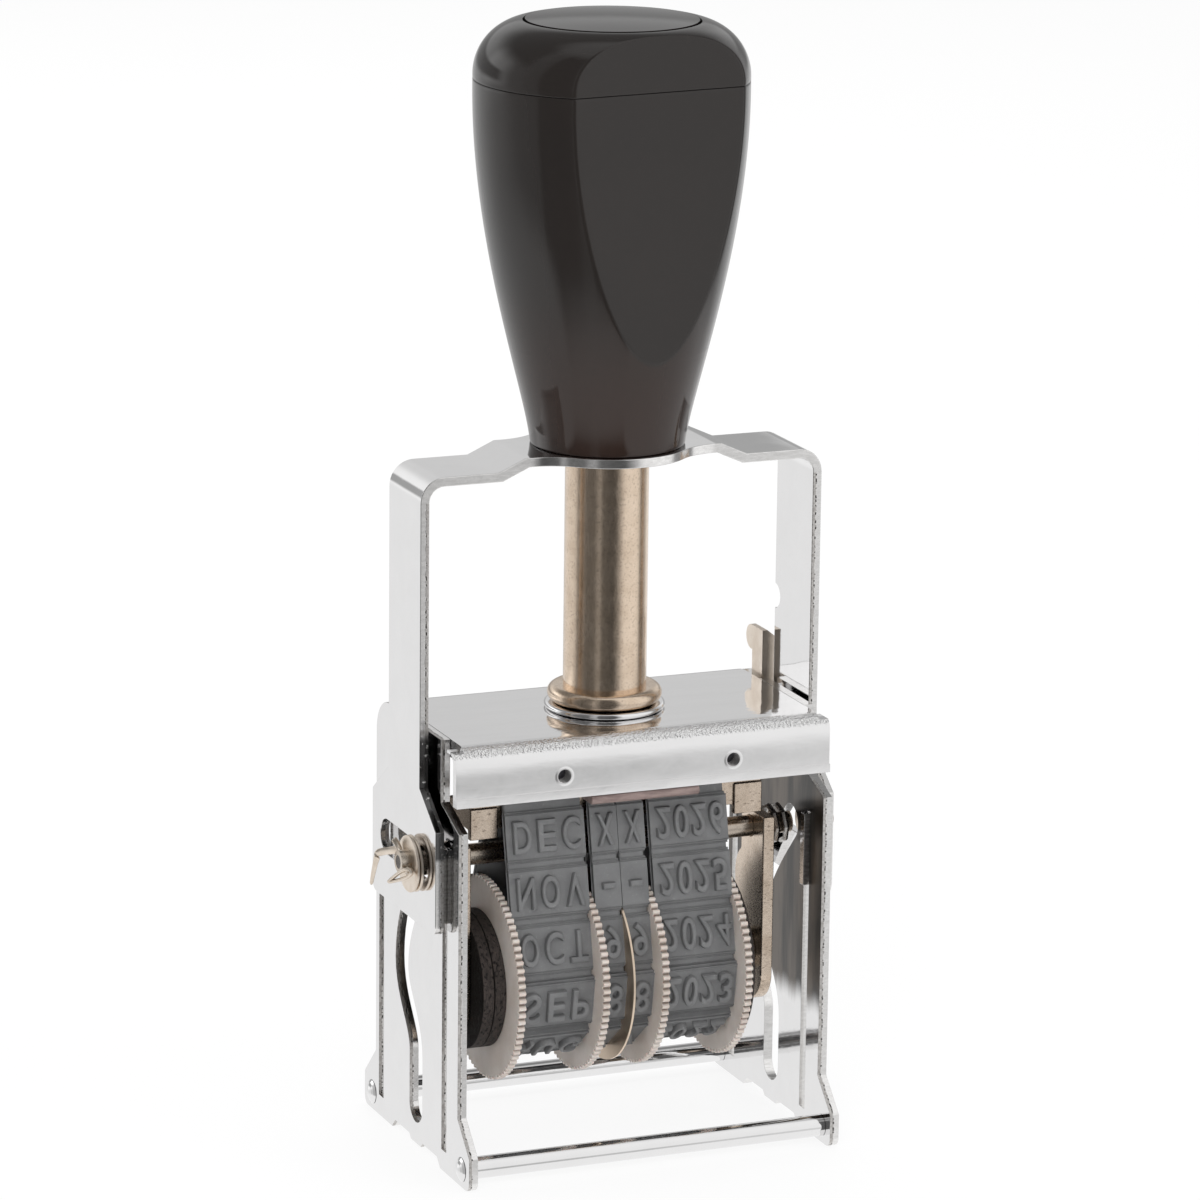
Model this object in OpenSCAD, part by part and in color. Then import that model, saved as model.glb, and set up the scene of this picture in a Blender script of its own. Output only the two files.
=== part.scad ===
// Self-inking date stamp: a chrome frame on two feet, a handle on a sliding yoke,
// and a four-band date block that turns over as the handle is pressed down.
// Millimetres, +Z up. The origin is on the table under the axis of the handle.
// The front, where the date wheels show, is towards -Y.

/* [Frame] */
// Width over the two side plates
frame_w = 57.5; // [53:0.5:66]
// Height of the top face of the channel
frame_h = 63.6; // [58:0.1:70]
// Thickness of a side plate
plate_t = 1.4; // [1:0.1:1.8]
// Half the depth of the straight part of a side plate
plate_half = 16.8; // [16.2:0.1:18]
// Half the depth over the feet
foot_half = 21.5; // [20.8:0.1:24]
// Distance from the middle to the inner end of a foot
foot_inner = 9.9; // [7:0.1:12]
// Height of the plate's lower edge between its feet
foot_lift = 1.3; // [0.6:0.1:2]
// Set-back of the front edge beside the channel, from the middle
neck_front = 9.5; // [8:0.1:10.5]
// Stand of the plates above the top face of the channel
plate_proud = 0; // [0:0.1:0.5]
// Radius of the rear top corner of a side plate
plate_corner = 5; // [2:0.5:7]
// Radius of the two tie bars between the feet
bar_r = 1.6; // [1.4:0.1:1.8]
// Distance of a tie bar from the middle
bar_y = 18.4; // [18:0.1:19]
// Height of the tie bars
bar_z = 2.6; // [2.4:0.1:3.2]
// Radius of a rivet head at the end of a tie bar
rivet_r = 1.8; // [1.5:0.1:2]

/* [Channel and ink pad] */
// Thickness of the channel's sheet
channel_t = 1.2; // [0.8:0.1:1.5]
// Height of the front and rear flanges, from the top face
flange_h = 8.5; // [7.5:0.1:9]
// Distance of the front face from the middle
channel_front = 15.5; // [15:0.1:16.2]
// Distance of the rear face from the middle
channel_rear = 14.8; // [14.2:0.1:15.2]
// Outer radius of the channel's bends
channel_bend = 2.4; // [1.8:0.1:3]
// Height of the rolled edge under the front flange
hem_h = 1.2; // [0.8:0.1:1.6]
// Radius of the two tapped holes in the front flange
tap_r = 1.0; // [0.7:0.1:1.3]
// Distance of a tapped hole from the middle
tap_x = 13; // [9:0.1:16]
// Shift of the two tapped holes to the right
tap_shift = 0.7; // [0:0.1:1]
// Distance of the pad tray's ends from the side plates
tray_room = 4.35; // [3.6:0.05:6]
// Sheet of the pad tray
tray_t = 0.8; // [0.6:0.1:1]
// Depth of the tray's rim
tray_h = 4; // [3.4:0.1:4.4]
// Half the length of the tray's front lip
lip_half = 8.3; // [5:0.1:12]

/* [Spring tube] */
// Outer radius of the tube
tube_r = 6.02; // [5.9:0.01:6.3]
// Bore radius of the tube
tube_bore = 5.4; // [5.2:0.01:5.5]
// Length of the tube above the frame
tube_len = 44; // [40:0.5:48]
// Radius of the rolled rim at the foot of the tube
rim_r = 8.3; // [7.8:0.1:8.6]
// Height of the rolled rim
rim_h = 2.4; // [2:0.1:3]
// Radius of the washer under the rim
ring_r = 8.75; // [8.6:0.05:9.2]
// Thickness of that washer
ring_t = 1.0; // [0.8:0.1:1.3]
// Radius of the return spring to the middle of its wire
spring_r = 4.3; // [3.9:0.05:4.4]
// Wire radius of the return spring
spring_wire = 0.5; // [0.4:0.05:0.6]
// Turns of the return spring
spring_turns = 16; // [12:1:18]

/* [Yoke] */
// Thickness of the yoke's strap
strap_t = 1.35; // [1.1:0.05:1.5]
// Gap between a yoke arm and its side plate
arm_gap = 0.7; // [0.5:0.05:1]
// Half the width of the upper arms and the strap
arm_half = 6.35; // [5.8:0.05:6.6]
// Half the width of the lower arms
wide_half = 12.9; // [12.2:0.1:13.4]
// Height above the axle at which the shoulders start
shoulder_lo = 5.9; // [4.9:0.1:6.9]
// Height of the shoulders
shoulder_h = 4.8; // [3.6:0.1:6]
// Outer radius of the strap's corner bends
strap_bend = 3.6; // [2.6:0.1:4.5]
// Rise of the pad under the handle
pad_rise = 1.8; // [1:0.1:2.2]
// Radius of that pad
pad_r = 12; // [11.6:0.1:13]
// Gap left at the stop, between the rim and the strap
stop_gap = 0.45; // [0.3:0.05:0.8]
// Lowest edge of the yoke above the table when pressed
yoke_foot = 1.9; // [1.2:0.1:2.4]

/* [Handle] */
// Radius of the handle at its foot
grip_foot_r = 11.1; // [10.8:0.1:11.6]
// Largest radius of the handle
grip_r = 19.6; // [18:0.1:21]
// Length of the handle's body, up to the cap's seam
grip_len = 52.3; // [50:0.1:58]
// Height of the cap
cap_h = 8.4; // [7.6:0.1:10]
// Rounding of the cap's shoulder
cap_round = 7.8; // [5:0.1:8]
// Radius of the disc let into the cap
disc_r = 12.3; // [10:0.1:12.4]
// Crown of that disc
disc_crown = 0.6; // [0.2:0.1:1]
// Distance of the front facet's plane from the axis
facet_in = 14.25; // [13.6:0.05:15]
// Turn of the front facet to the right, in degrees
facet_turn = 6; // [0:0.5:8]

/* [Date block] */
// Rest position of the axle, from the middle
axle_y = -5.5; // [-6:0.1:-5]
// Distance of the axle at rest below the top face of the channel
axle_drop = 18.5; // [18:0.1:18.8]
// Distance from the axle to the face of the type
type_reach = 11.3; // [11.1:0.1:11.6]
// Radius of the axle between the side plates
axle_r = 1.55; // [1.3:0.05:1.7]
// Radius of the axle's ends in the yoke's slots
axle_end_r = 2.3; // [2:0.05:2.4]
// Radius of the axle's turned-down tips
axle_tip_r = 1.65; // [1.4:0.05:1.8]
// Distance from the axle down to the shaft of the wheels
shaft_drop = 18.5; // [18:0.1:18.8]
// Radius of the wheels' shaft
shaft_r = 1.5; // [1.2:0.05:1.7]
// Radius over the teeth of a date wheel
wheel_r = 14.85; // [14.4:0.05:15.1]
// Thickness of the toothed flange
wheel_t = 1.1; // [0.9:0.05:1.3]
// Teeth of a date wheel
teeth = 84; // [60:2:90]
// Depth of a tooth
tooth_h = 0.6; // [0.4:0.05:0.8]
// Radius of the drum that carries a band
drum_r = 9.3; // [9:0.05:9.5]
// Width of the two day bands
day_band = 3.8; // [3.4:0.1:4]
// Thickness of a band's web
band_t = 1.05; // [0.9:0.05:1.2]
// Height of the type blocks on a band
type_h = 1.4; // [1:0.1:1.5]
// Length of a type block
type_len = 6.4; // [5.6:0.1:6.8]
// Type blocks on a band
types = 12; // [12:1:12]
// Distance between two type blocks along a band
type_pitch = 8.1; // [7.8:0.05:8.15]
// Advance of the type blocks towards the front
type_shift = 0.7; // [0:0.05:0.8]
// Front edge of the platen's flat, from the axle
platen_front = 3.6; // [3.4:0.05:3.8]
// Rear edge of the platen's flat, behind the axle
platen_back = -0.4; // [-0.6:0.05:0]
// Edge radius of the platen
platen_round = 0.5; // [0.4:0.05:0.6]
// Room between a side plate and the month wheel or the right cheek
end_room = 6.55; // [6.3:0.05:6.8]
// Room between the year wheel and the right cheek
cheek_room = 5.5; // [4.8:0.1:6.2]
// Thickness of a left friction disc
disc_t = 1.75; // [1.5:0.05:1.8]
// Radius of the left friction discs
friction_r = 10; // [8:0.1:11]
// Thickness of the cheeks
cheek_t = 1.8; // [1.4:0.1:2]
// Half the depth of a cheek
cheek_half = 5; // [4.4:0.1:5.6]

/* [Fits] */
// Radial clearance of a running fit
run_fit = 0.05; // [0.02:0.01:0.08]
// Gap between fixed pieces that lie side by side
seat_gap = 0.05; // [0.02:0.01:0.1]
// Gap of a free sliding piece
slide_gap = 0.3; // [0.25:0.05:0.35]
// Gap between the type and the ink pad
ink_gap = 0.3; // [0.2:0.05:0.5]

/* [Hidden] */
$fn = 72;

CHROME = "#c8ccd1";
NICKEL = "#b9a98c";
BLACK = "#1d1b1b";
RUBBER = "#6c7377";
IVORY = "#d6c8b4";
FIBRE = "#3a3735";
BRASS = "#cfa973";
FELT = "#2c2631";
ROSE = "#a58a80";

// Frame
plate_out = frame_w / 2;
plate_in = plate_out - plate_t;
plate_top = frame_h + plate_proud;
web_under = frame_h - channel_t;
flange_z = frame_h - flange_h;
taps = [tap_shift - tap_x, tap_shift + tap_x];
tap_z = flange_z + 3.2;
tray_front = channel_front - channel_bend - seat_gap;
tray_back = channel_rear - channel_bend - seat_gap;
tray_half = plate_in - tray_room;
flare_lo = 5;
flare_hi = 9.6;
foot_round = 1.4;
bump_half = 2;
bump_h = 0.7;
neck_lo = frame_h - 12;
neck_hi = frame_h - 9.2;
rivet_h = 0.6;
rivet_shank = 1.1;

// Axle and stroke
axle_z = frame_h - axle_drop;
stroke = axle_z - type_reach;

// Tube and stop
rim_top = frame_h + ring_t + rim_h;
tube_seat = frame_h + ring_t + 0.9;
tube_neck = 4.4;
tube_neck_bore = 3.2;
lip_r = 5.4;
lip_t = 0.7;
lip_hole = lip_r + 0.6;

// Yoke
arm_in = plate_out + arm_gap;
arm_out = arm_in + strap_t;
pad_under = rim_top + stroke + stop_gap;
pad_top = pad_under + strap_t;
strap_top = pad_top - pad_rise;
strap_under = strap_top - strap_t;
joggle_out = 19;
joggle_in = 15;
yoke_lo = stroke + yoke_foot;
tab_lo = yoke_lo + 1.5;
tab_hi = axle_z + 2.9;
tab_in = plate_in - 0.8;
guide_front = -wide_half + 1.5;
guide_back = plate_half - 2.3;
slot_r = axle_end_r + slide_gap;
slot_front = -10;
slot_back = 9.5;
notch_r = 1.8;
notch_z = frame_h + 12.5;

// Handle
seam_z = pad_top + grip_len;
cap_top = seam_z + cap_h;
handle_bore = tube_r + 0.9;
bore_top = seam_z - 4.5;
spigot_r = facet_in - 1.55;
spigot_h = 3;
disc_t_in = 1.6;
screw_r = 1.2;
screw_head_r = 2.1;
screw_x = (handle_bore + grip_foot_r) / 2;
screw_len = 9;

// Cam slot
cam_bulge_y = 6;
cam_end_z = 6.4;
cam_bulge_z = axle_z - 18.6;
cam_straight_z = axle_z - 31.1;
cam_steps = 12;

// Date block, in its own frame with the axle at the origin and the type towards +Z
pad_face = axle_z + type_reach + ink_gap;
platen_top = type_reach - type_h - band_t;
side_gap = 0.05;
divider_t = 0.3;
divider_r = 13.9;
wheels_left = end_room - plate_in;
right_cheek_x = plate_in - end_room;
wheels_right = right_cheek_x - cheek_room;
small_pieces = 4 * wheel_t + 2 * day_band + divider_t + 8 * side_gap;
wide_band = (wheels_right - wheels_left - small_pieces) / 2;
month_x = wheels_left + wheel_t + side_gap;
tens_x = month_x + wide_band + wheel_t + 2 * side_gap;
units_x = tens_x + day_band + divider_t + 2 * side_gap;
units_wheel_x = units_x + day_band + side_gap;
year_x = units_wheel_x + wheel_t + side_gap;
year_wheel_x = year_x + wide_band + side_gap;
left_cheek_x = wheels_left - 2 * disc_t - 3 * seat_gap - cheek_t;
right_disc_t = 0.9;
right_disc_r = 13.4;
spacer_r = 3;
cheek_top = 2.4;
cheek_shoulder = 4.6;
shoulder_drop = 8;
neck_back = axle_r + 1.35;
cheek_foot = 2.6;
saddle_front = 4.4;
saddle_back = 4.1;
saddle_lo = 3.3;
saddle_t = 1.1;
saddle_left_w = month_x - left_cheek_x - cheek_t - 2 * slide_gap;
saddle_right_w = 4.4;
washer_t = 0.6;
washer_r = 4.1;
washer_x = arm_out + 2 * seat_gap;
cotter_x = washer_x + 2 * washer_t + seat_gap + 0.65;
cotter_r = 0.5;
axle_tip = cotter_x + 0.85;
washer_play = 0.5;
axle_head_r = 3.2;
axle_head_t = 0.9;

// Latch
latch_t = 0.8;
latch_x = plate_out - latch_t + 0.05;
latch_front = arm_half + 0.9;
latch_back = latch_front + 3.7;
latch_tail = frame_h - 1.2;
latch_pivot_y = 10;
latch_pivot_z = frame_h - 5.1;
latch_lo = web_under - 1.4;
latch_hi = frame_h + 7;
latch_notch_lo = latch_lo - 0.8;
latch_pin_r = 0.9;
latch_limb_x = plate_in - 0.15 - latch_t;

// Shared helpers

// Rod along X from x0 to x1.
module rod_x(r, x0, x1) {
    translate([x0, 0, 0])
        rotate([0, 90, 0])
            cylinder(r = r, h = x1 - x0);
}

// Sheet lying across X, from drawings of (Y, Z).
module sheet_x(x0, t) {
    for (i = [0 : $children - 1])
        translate([x0, 0, 0])
            rotate([90, 0, 90])
                linear_extrude(t)
                    children(i);
}

// Sheet lying across Y, from a drawing of (X, Z).
module sheet_y(y0, y1) {
    translate([0, y1, 0])
        rotate([90, 0, 0])
            linear_extrude(y1 - y0)
                children();
}

// Slot with round ends between two points of one drawing, level or upright.
module obround(a, b, r) {
    for (p = [a, b])
        translate(p)
            circle(r);
    d = b - a;
    translate(a)
        rotate(atan2(d[1], d[0]))
            translate([0, -r])
                square([norm(d), 2 * r]);
}

module at_axle() {
    translate([0, axle_y, axle_z])
        children();
}

module at_shaft() {
    translate([0, axle_y, axle_z - shaft_drop])
        children();
}

module both_sides() {
    for (s = [0, 1])
        mirror([s, 0, 0])
            children();
}

// Point at t on a curve with four control points.
function bezier(p, t) =
    pow(1 - t, 3) * p[0] + 3 * pow(1 - t, 2) * t * p[1] + 3 * (1 - t) * pow(t, 2) * p[2] + pow(t, 3) * p[3];

function rad(a) = a * PI / 180;

// Points of an arc from angle a0 to a1.
function arc(c, r, a0, a1, steps) =
    [for (i = [0 : steps]) let (a = a0 + (a1 - a0) * i / steps) c + r * [cos(a), sin(a)]];

// Round wire wound on a cylinder about Z: rings of points and the faces between them.
coil_rings = 8;
coil_sides = 6;

function coil_centre(r, pitch, i) =
    let (a = 360 * i / coil_rings) [r * cos(a), r * sin(a), pitch * i / coil_rings];

function coil_points(r, wire, pitch, turns) = [
    for (i = [0 : turns * coil_rings], j = [0 : coil_sides - 1])
        let (a = 360 * i / coil_rings, b = 360 * j / coil_sides,
             e = [cos(a), sin(a), 0],
             t = [-sin(a), cos(a), pitch / (2 * PI * r)] / norm([1, pitch / (2 * PI * r)]))
            coil_centre(r, pitch, i) + wire * (cos(b) * e + sin(b) * cross(t, e))
];

function coil_faces(turns) = let (last = turns * coil_rings, n = coil_sides) concat(
    [[for (j = [0 : n - 1]) j]],
    [for (i = [0 : last - 1], j = [0 : n - 1]) let (k = (j + 1) % n)
        each [[i * n + j, (i + 1) * n + j, (i + 1) * n + k], [i * n + j, (i + 1) * n + k, i * n + k]]],
    [[for (j = [n - 1 : -1 : 0]) last * n + j]]
);

// Least gap between turns, measured on the middle of the wire.
function coil_gap(r, wire, pitch, turns) = min([
    for (i = [0 : (turns - 1) * coil_rings], j = [i + coil_rings / 2 : turns * coil_rings])
        norm(coil_centre(r, pitch, i) - coil_centre(r, pitch, j))
]) - 2 * wire;

module coil(r, wire, pitch, turns) {
    polyhedron(coil_points(r, wire, pitch, turns), coil_faces(turns), convexity = 10);
}

// Side plates

// Middle line of the cam slot, from the axle's rest place down to its end.
function cam_line() = concat(
    [for (i = [0 : cam_steps - 1])
        bezier([[axle_y, axle_z], [0, axle_z - 5.6], [cam_bulge_y, cam_bulge_z + 7],
                [cam_bulge_y, cam_bulge_z]], i / cam_steps)],
    [for (i = [0 : cam_steps])
        bezier([[cam_bulge_y, cam_bulge_z], [cam_bulge_y, cam_bulge_z - 5],
                [0, cam_straight_z + 5], [0, cam_straight_z]], i / cam_steps)],
    [[0, cam_end_z]]
);

// Unit normal of a line of points at point i.
function line_normal(p, i) =
    let (d = p[min(i + 1, len(p) - 1)] - p[max(i - 1, 0)]) [d[1], -d[0]] / norm(d);

module cam_slot() {
    p = cam_line();
    n = len(p);
    polygon(concat(
        [for (i = [0 : n - 1]) p[i] + slot_r * line_normal(p, i)],
        [for (i = [n - 1 : -1 : 0]) p[i] - slot_r * line_normal(p, i)]));
}

module cam_slot_ends() {
    p = cam_line();
    for (e = [p[0], p[len(p) - 1]])
        translate(e)
            circle(slot_r);
}

module guide_slots() {
    slot_half = strap_t / 2 + slide_gap;
    for (y = [guide_front, guide_back])
        translate([y - slot_half, tab_lo - stroke - slide_gap])
            square([2 * slot_half, tab_hi - tab_lo + stroke + 2 * slide_gap]);
}

module plate_outline() {
    polygon([
        [-foot_half, foot_round], [-foot_half, flare_lo], [-plate_half, flare_hi],
        [-plate_half, neck_lo], [-neck_front, neck_hi], [-neck_front, plate_top],
        [plate_half - plate_corner, plate_top], [plate_half, plate_top - plate_corner],
        [plate_half, flare_hi], [foot_half, flare_lo], [foot_half, foot_round],
        [foot_half - foot_round, 0], [foot_inner, 0], [foot_inner - foot_lift, foot_lift],
        [bump_half + bump_h, foot_lift], [bump_half, foot_lift - bump_h],
        [-bump_half, foot_lift - bump_h], [-bump_half - bump_h, foot_lift],
        [foot_lift - foot_inner, foot_lift], [-foot_inner, 0], [foot_round - foot_half, 0]
    ]);
}

module foot_corners() {
    for (s = [-1, 1])
        translate([s * (foot_half - foot_round), foot_round])
            circle(foot_round);
}

module side_plate(x0) {
    difference() {
        sheet_x(x0, plate_t) {
            plate_outline();
            foot_corners();
            translate([plate_half - plate_corner, plate_top - plate_corner])
                circle(plate_corner);
        }
        sheet_x(x0 - 1, plate_t + 2) {
            cam_slot();
            cam_slot_ends();
            guide_slots();
        }
        for (s = [-1, 1])
            translate([0, s * bar_y, bar_z])
                rod_x(rivet_shank + run_fit, x0 - 1, x0 + plate_t + 1);
    }
}

module left_side_plate() {
    color(CHROME)
        side_plate(-plate_out);
}

module right_side_plate() {
    color(CHROME)
        difference() {
            side_plate(plate_in);
            translate([0, latch_pivot_y, latch_pivot_z])
                rod_x(latch_pin_r + run_fit, plate_in - 1, plate_out + 1);
            translate([plate_in - 1, latch_front - 0.75, latch_notch_lo])
                cube([plate_t + 2, latch_back - latch_front + 2.25, plate_top - latch_notch_lo + 1]);
        }
}

// A bar between the plates with a thinner shank riveted over on the outside.
module tie_bar() {
    shoulder = plate_in - seat_gap;
    face = plate_out + seat_gap;
    dome_r = (pow(rivet_r, 2) + pow(rivet_h, 2)) / (2 * rivet_h);
    dome_a = asin(rivet_r / dome_r);
    dome = arc([0, face + rivet_h - dome_r], dome_r, 90 - dome_a, 90, 4);
    end = concat([[bar_r, shoulder], [rivet_shank, shoulder], [rivet_shank, face]], dome);
    n = len(end);
    rotate([0, 90, 0])
        rotate_extrude()
            polygon(concat(end, [for (i = [n - 1 : -1 : 0]) [end[i][0], -end[i][1]]]));
}

module front_tie_bar() {
    color(CHROME)
        translate([0, -bar_y, bar_z])
            tie_bar();
}

module rear_tie_bar() {
    color(CHROME)
        translate([0, bar_y, bar_z])
            tie_bar();
}

// Top channel

// Channel in section (Y, Z), grown inwards by d from its outer face.
module channel_block(d) {
    r = channel_bend - d;
    y0 = -channel_front + d;
    y1 = channel_rear - d;
    z1 = frame_h - d;
    translate([y0, flange_z - d])
        square([y1 - y0, z1 - r - flange_z + d]);
    translate([y0 + r, flange_z - d])
        square([y1 - y0 - 2 * r, z1 - flange_z + d]);
    for (y = [y0 + r, y1 - r])
        translate([y, z1 - r])
            circle(r);
}

module top_channel() {
    web_half = plate_in - seat_gap;
    shelf = channel_front - channel_bend - channel_t;
    end_drop = 0.8;
    web_corner = 3.5;
    color(CHROME) {
        difference() {
            union() {
                difference() {
                    sheet_x(-plate_out, frame_w)
                        difference() {
                            channel_block(0);
                            channel_block(channel_t);
                        }
                    both_sides()
                        translate([web_half, -shelf, flange_z - 1])
                            cube([plate_t * 2, shelf + channel_rear + 1, flange_h + 2]);
                }
                translate([-plate_out, -channel_front - 0.35, flange_z])
                    cube([frame_w, 0.7, hem_h]);
                for (x = taps)
                    translate([x, -channel_front + channel_t / 2, tap_z])
                        rotate([-90, 0, 0])
                            cylinder(r = tap_r + 0.7, h = channel_t / 2 + 0.9);
            }
            cylinder(r = tube_neck + run_fit, h = frame_h + 1);
            for (x = taps)
                translate([x, -channel_front - 1, tap_z])
                    rotate([-90, 0, 0])
                        cylinder(r = tap_r, h = channel_t + 3);
            both_sides()
                translate([web_half, -channel_front - 1, frame_h - end_drop])
                    cube([plate_t * 2, channel_front, end_drop + 1]);
            both_sides()
                difference() {
                    translate([web_half - web_corner, channel_rear - web_corner, flange_z - 1])
                        cube([web_corner + 1, web_corner + 1, flange_h + 2]);
                    translate([web_half - web_corner, channel_rear - web_corner, flange_z - 2])
                        cylinder(r = web_corner, h = flange_h + 4);
                }
        }
    }
}

// Ink pad

module pad_tray() {
    front = tray_front;
    back = tray_back;
    lip_rad = 0.65;
    lip_z = flange_z - lip_rad - seat_gap;
    color(ROSE) {
        difference() {
            translate([-tray_half, -front, web_under - tray_h])
                cube([2 * tray_half, front + back, tray_h]);
            translate([-tray_half + tray_t, -front + tray_t, web_under - tray_h - 1])
                cube([2 * (tray_half - tray_t), front + back - 2 * tray_t, tray_h - tray_t + 1]);
            cylinder(r = lip_hole, h = frame_h);
            for (x = taps)
                translate([x, -front, tap_z])
                    rotate([-90, 0, 0])
                        cylinder(r = tap_r + 0.7 + seat_gap, h = 3, center = true);
        }
        translate([-lip_half, -front, lip_z - lip_rad])
            cube([2 * lip_half, tray_t, web_under - lip_z]);
        translate([0, -channel_front, lip_z])
            rod_x(lip_rad, -lip_half, lip_half);
        translate([-lip_half, -channel_front, lip_z - lip_rad])
            cube([2 * lip_half, channel_front - front + tray_t, 2 * lip_rad]);
    }
}

module ink_pad() {
    front = tray_front - tray_t - seat_gap;
    back = tray_back - tray_t - seat_gap;
    half = tray_half - tray_t - seat_gap;
    color(FELT)
        translate([-half, -front, pad_face])
            cube([2 * half, front + back, web_under - tray_t - lip_t - pad_face]);
}

// Spring tube

module spring_tube() {
    bead = rim_h / 2;
    foot = frame_h + ring_t;
    color(NICKEL)
        difference() {
            union() {
                translate([0, 0, foot])
                    cylinder(r = tube_r, h = frame_h + tube_len - foot);
                translate([0, 0, foot])
                    cylinder(r = rim_r - bead, h = rim_h);
                translate([0, 0, foot + bead])
                    rotate_extrude()
                        translate([rim_r - bead, 0])
                            circle(bead);
                translate([0, 0, web_under - lip_t])
                    cylinder(r = tube_neck, h = foot - web_under + lip_t);
                translate([0, 0, web_under - lip_t])
                    cylinder(r = lip_r, h = lip_t - seat_gap);
            }
            translate([0, 0, tube_seat])
                cylinder(r = tube_bore, h = tube_len);
            translate([0, 0, web_under - 2 * lip_t])
                cylinder(r = tube_neck_bore, h = tube_len);
        }
}

module tube_washer() {
    edge = ring_t / 2 - seat_gap;
    color(CHROME)
        rotate_extrude()
            union() {
                translate([tube_neck + run_fit, frame_h + seat_gap])
                    square([ring_r - edge - tube_neck - run_fit, 2 * edge]);
                translate([ring_r - edge, frame_h + ring_t / 2])
                    circle(edge);
            }
}

// Lock latch

module latch_pin() {
    color(NICKEL)
        translate([0, latch_pivot_y, latch_pivot_z]) {
            rod_x(latch_pin_r, latch_limb_x - 0.6, plate_out);
            rod_x(latch_pin_r * 1.6, latch_limb_x - 1.1, latch_limb_x - 0.15);
        }
}

module lock_latch() {
    head_r = 1.85;
    limb_half = 1.5;
    flange_out = arm_out - 0.9;
    color(NICKEL)
        difference() {
            union() {
                sheet_x(latch_x, latch_t) {
                    translate([latch_front, latch_lo])
                        square([latch_back - latch_front, latch_hi - latch_lo]);
                    translate([latch_back + 0.4, latch_hi - head_r])
                        circle(head_r);
                }
                sheet_y(latch_front, latch_front + latch_t)
                    polygon([[latch_x, latch_tail], [flange_out, latch_tail], [flange_out, latch_hi - 0.9],
                             [latch_x + latch_t, latch_hi], [latch_x, latch_hi]]);
                translate([latch_limb_x, latch_pivot_y - limb_half, latch_lo])
                    cube([latch_x + latch_t - latch_limb_x, 2 * limb_half, latch_t]);
                sheet_x(latch_limb_x, latch_t) {
                    translate([latch_pivot_y - limb_half, latch_pivot_z])
                        square([2 * limb_half, latch_lo + latch_t - latch_pivot_z]);
                    translate([latch_pivot_y, latch_pivot_z])
                        circle(limb_half);
                }
            }
            translate([0, latch_pivot_y, latch_pivot_z])
                rod_x(latch_pin_r + run_fit, latch_limb_x - 1, latch_limb_x + latch_t + 1);
        }
}

// Yoke and handle

// Outline of the yoke's sheet in front view, grown inwards by d.
module yoke_front(d) {
    r = strap_bend - d;
    x = arm_out - d;
    z = strap_top - d;
    lean = d * pad_rise / (joggle_out - joggle_in);
    translate([-x, yoke_lo - d])
        square([2 * x, z - r - yoke_lo + d]);
    translate([-x + r, yoke_lo - d])
        square([2 * (x - r), z - yoke_lo + d]);
    for (s = [-1, 1])
        translate([s * (x - r), z - r])
            circle(r);
    polygon([[-joggle_out + lean, z - 0.5], [-joggle_out + lean, z], [-joggle_in + lean, z + pad_rise],
             [joggle_in - lean, z + pad_rise], [joggle_out - lean, z], [joggle_out - lean, z - 0.5]]);
}

// Outline of the strap in plan, with the round pad under the handle blended in.
module strap_plan() {
    blend = 8;
    fillet_y = arm_half + blend;
    fillet_x = sqrt(pow(pad_r + blend, 2) - pow(fillet_y, 2));
    square([2 * arm_out + 2, 2 * arm_half], center = true);
    circle(pad_r);
    difference() {
        square([2 * fillet_x, 2 * fillet_y * pad_r / (pad_r + blend)], center = true);
        for (sx = [-1, 1], sy = [-1, 1])
            translate([sx * fillet_x, sy * fillet_y])
                circle(blend);
    }
}

module arm_outline() {
    corner = 1.5;
    shoulder_top = axle_z + shoulder_lo + shoulder_h;
    difference() {
        union() {
            polygon([[-wide_half, yoke_lo + corner], [-wide_half, axle_z + shoulder_lo], [-arm_half, shoulder_top],
                     [-arm_half, strap_top + 1], [arm_half, strap_top + 1], [arm_half, shoulder_top],
                     [wide_half, axle_z + shoulder_lo], [wide_half, yoke_lo + corner],
                     [wide_half - corner, yoke_lo], [corner - wide_half, yoke_lo]]);
            for (s = [-1, 1])
                translate([s * (wide_half - corner), yoke_lo + corner])
                    circle(corner);
        }
        obround([slot_front + slot_r, axle_z], [slot_back - slot_r, axle_z], slot_r);
    }
}

module strap_yoke() {
    head_z = strap_under - strap_bend;
    color(CHROME)
        difference() {
            union() {
                intersection() {
                    sheet_y(-pad_r - 1, pad_r + 1)
                        difference() {
                            yoke_front(0);
                            yoke_front(strap_t);
                        }
                    union() {
                        sheet_x(-arm_out - 1, 2 * arm_out + 2)
                            intersection() {
                                arm_outline();
                                translate([-wide_half, 0])
                                    square([2 * wide_half, head_z]);
                            }
                        translate([0, 0, head_z])
                            linear_extrude(pad_top - head_z + 1)
                                strap_plan();
                    }
                }
                both_sides()
                    translate([tab_in, guide_front - strap_t / 2, tab_lo])
                        cube([arm_in - tab_in + strap_t / 2, strap_t, tab_hi - tab_lo]);
            }
            cylinder(r = tube_r + run_fit, h = pad_top + 1);
            both_sides()
                translate([screw_x, 0, pad_under])
                    screw_body(run_fit);
            translate([0, arm_half, notch_z])
                rod_x(notch_r, arm_in - 1, arm_out + 1);
        }
}

// Countersunk screw standing on its head, grown by d for its hole.
module screw_body(d) {
    translate([0, 0, -d])
        cylinder(r1 = screw_head_r + d, r2 = screw_r + d, h = strap_t - 0.3 + d);
    cylinder(r = screw_r + d, h = screw_len + d);
}

module handle_screws() {
    color(NICKEL)
        both_sides()
            translate([screw_x, 0, pad_under])
                screw_body(0);
}

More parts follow.
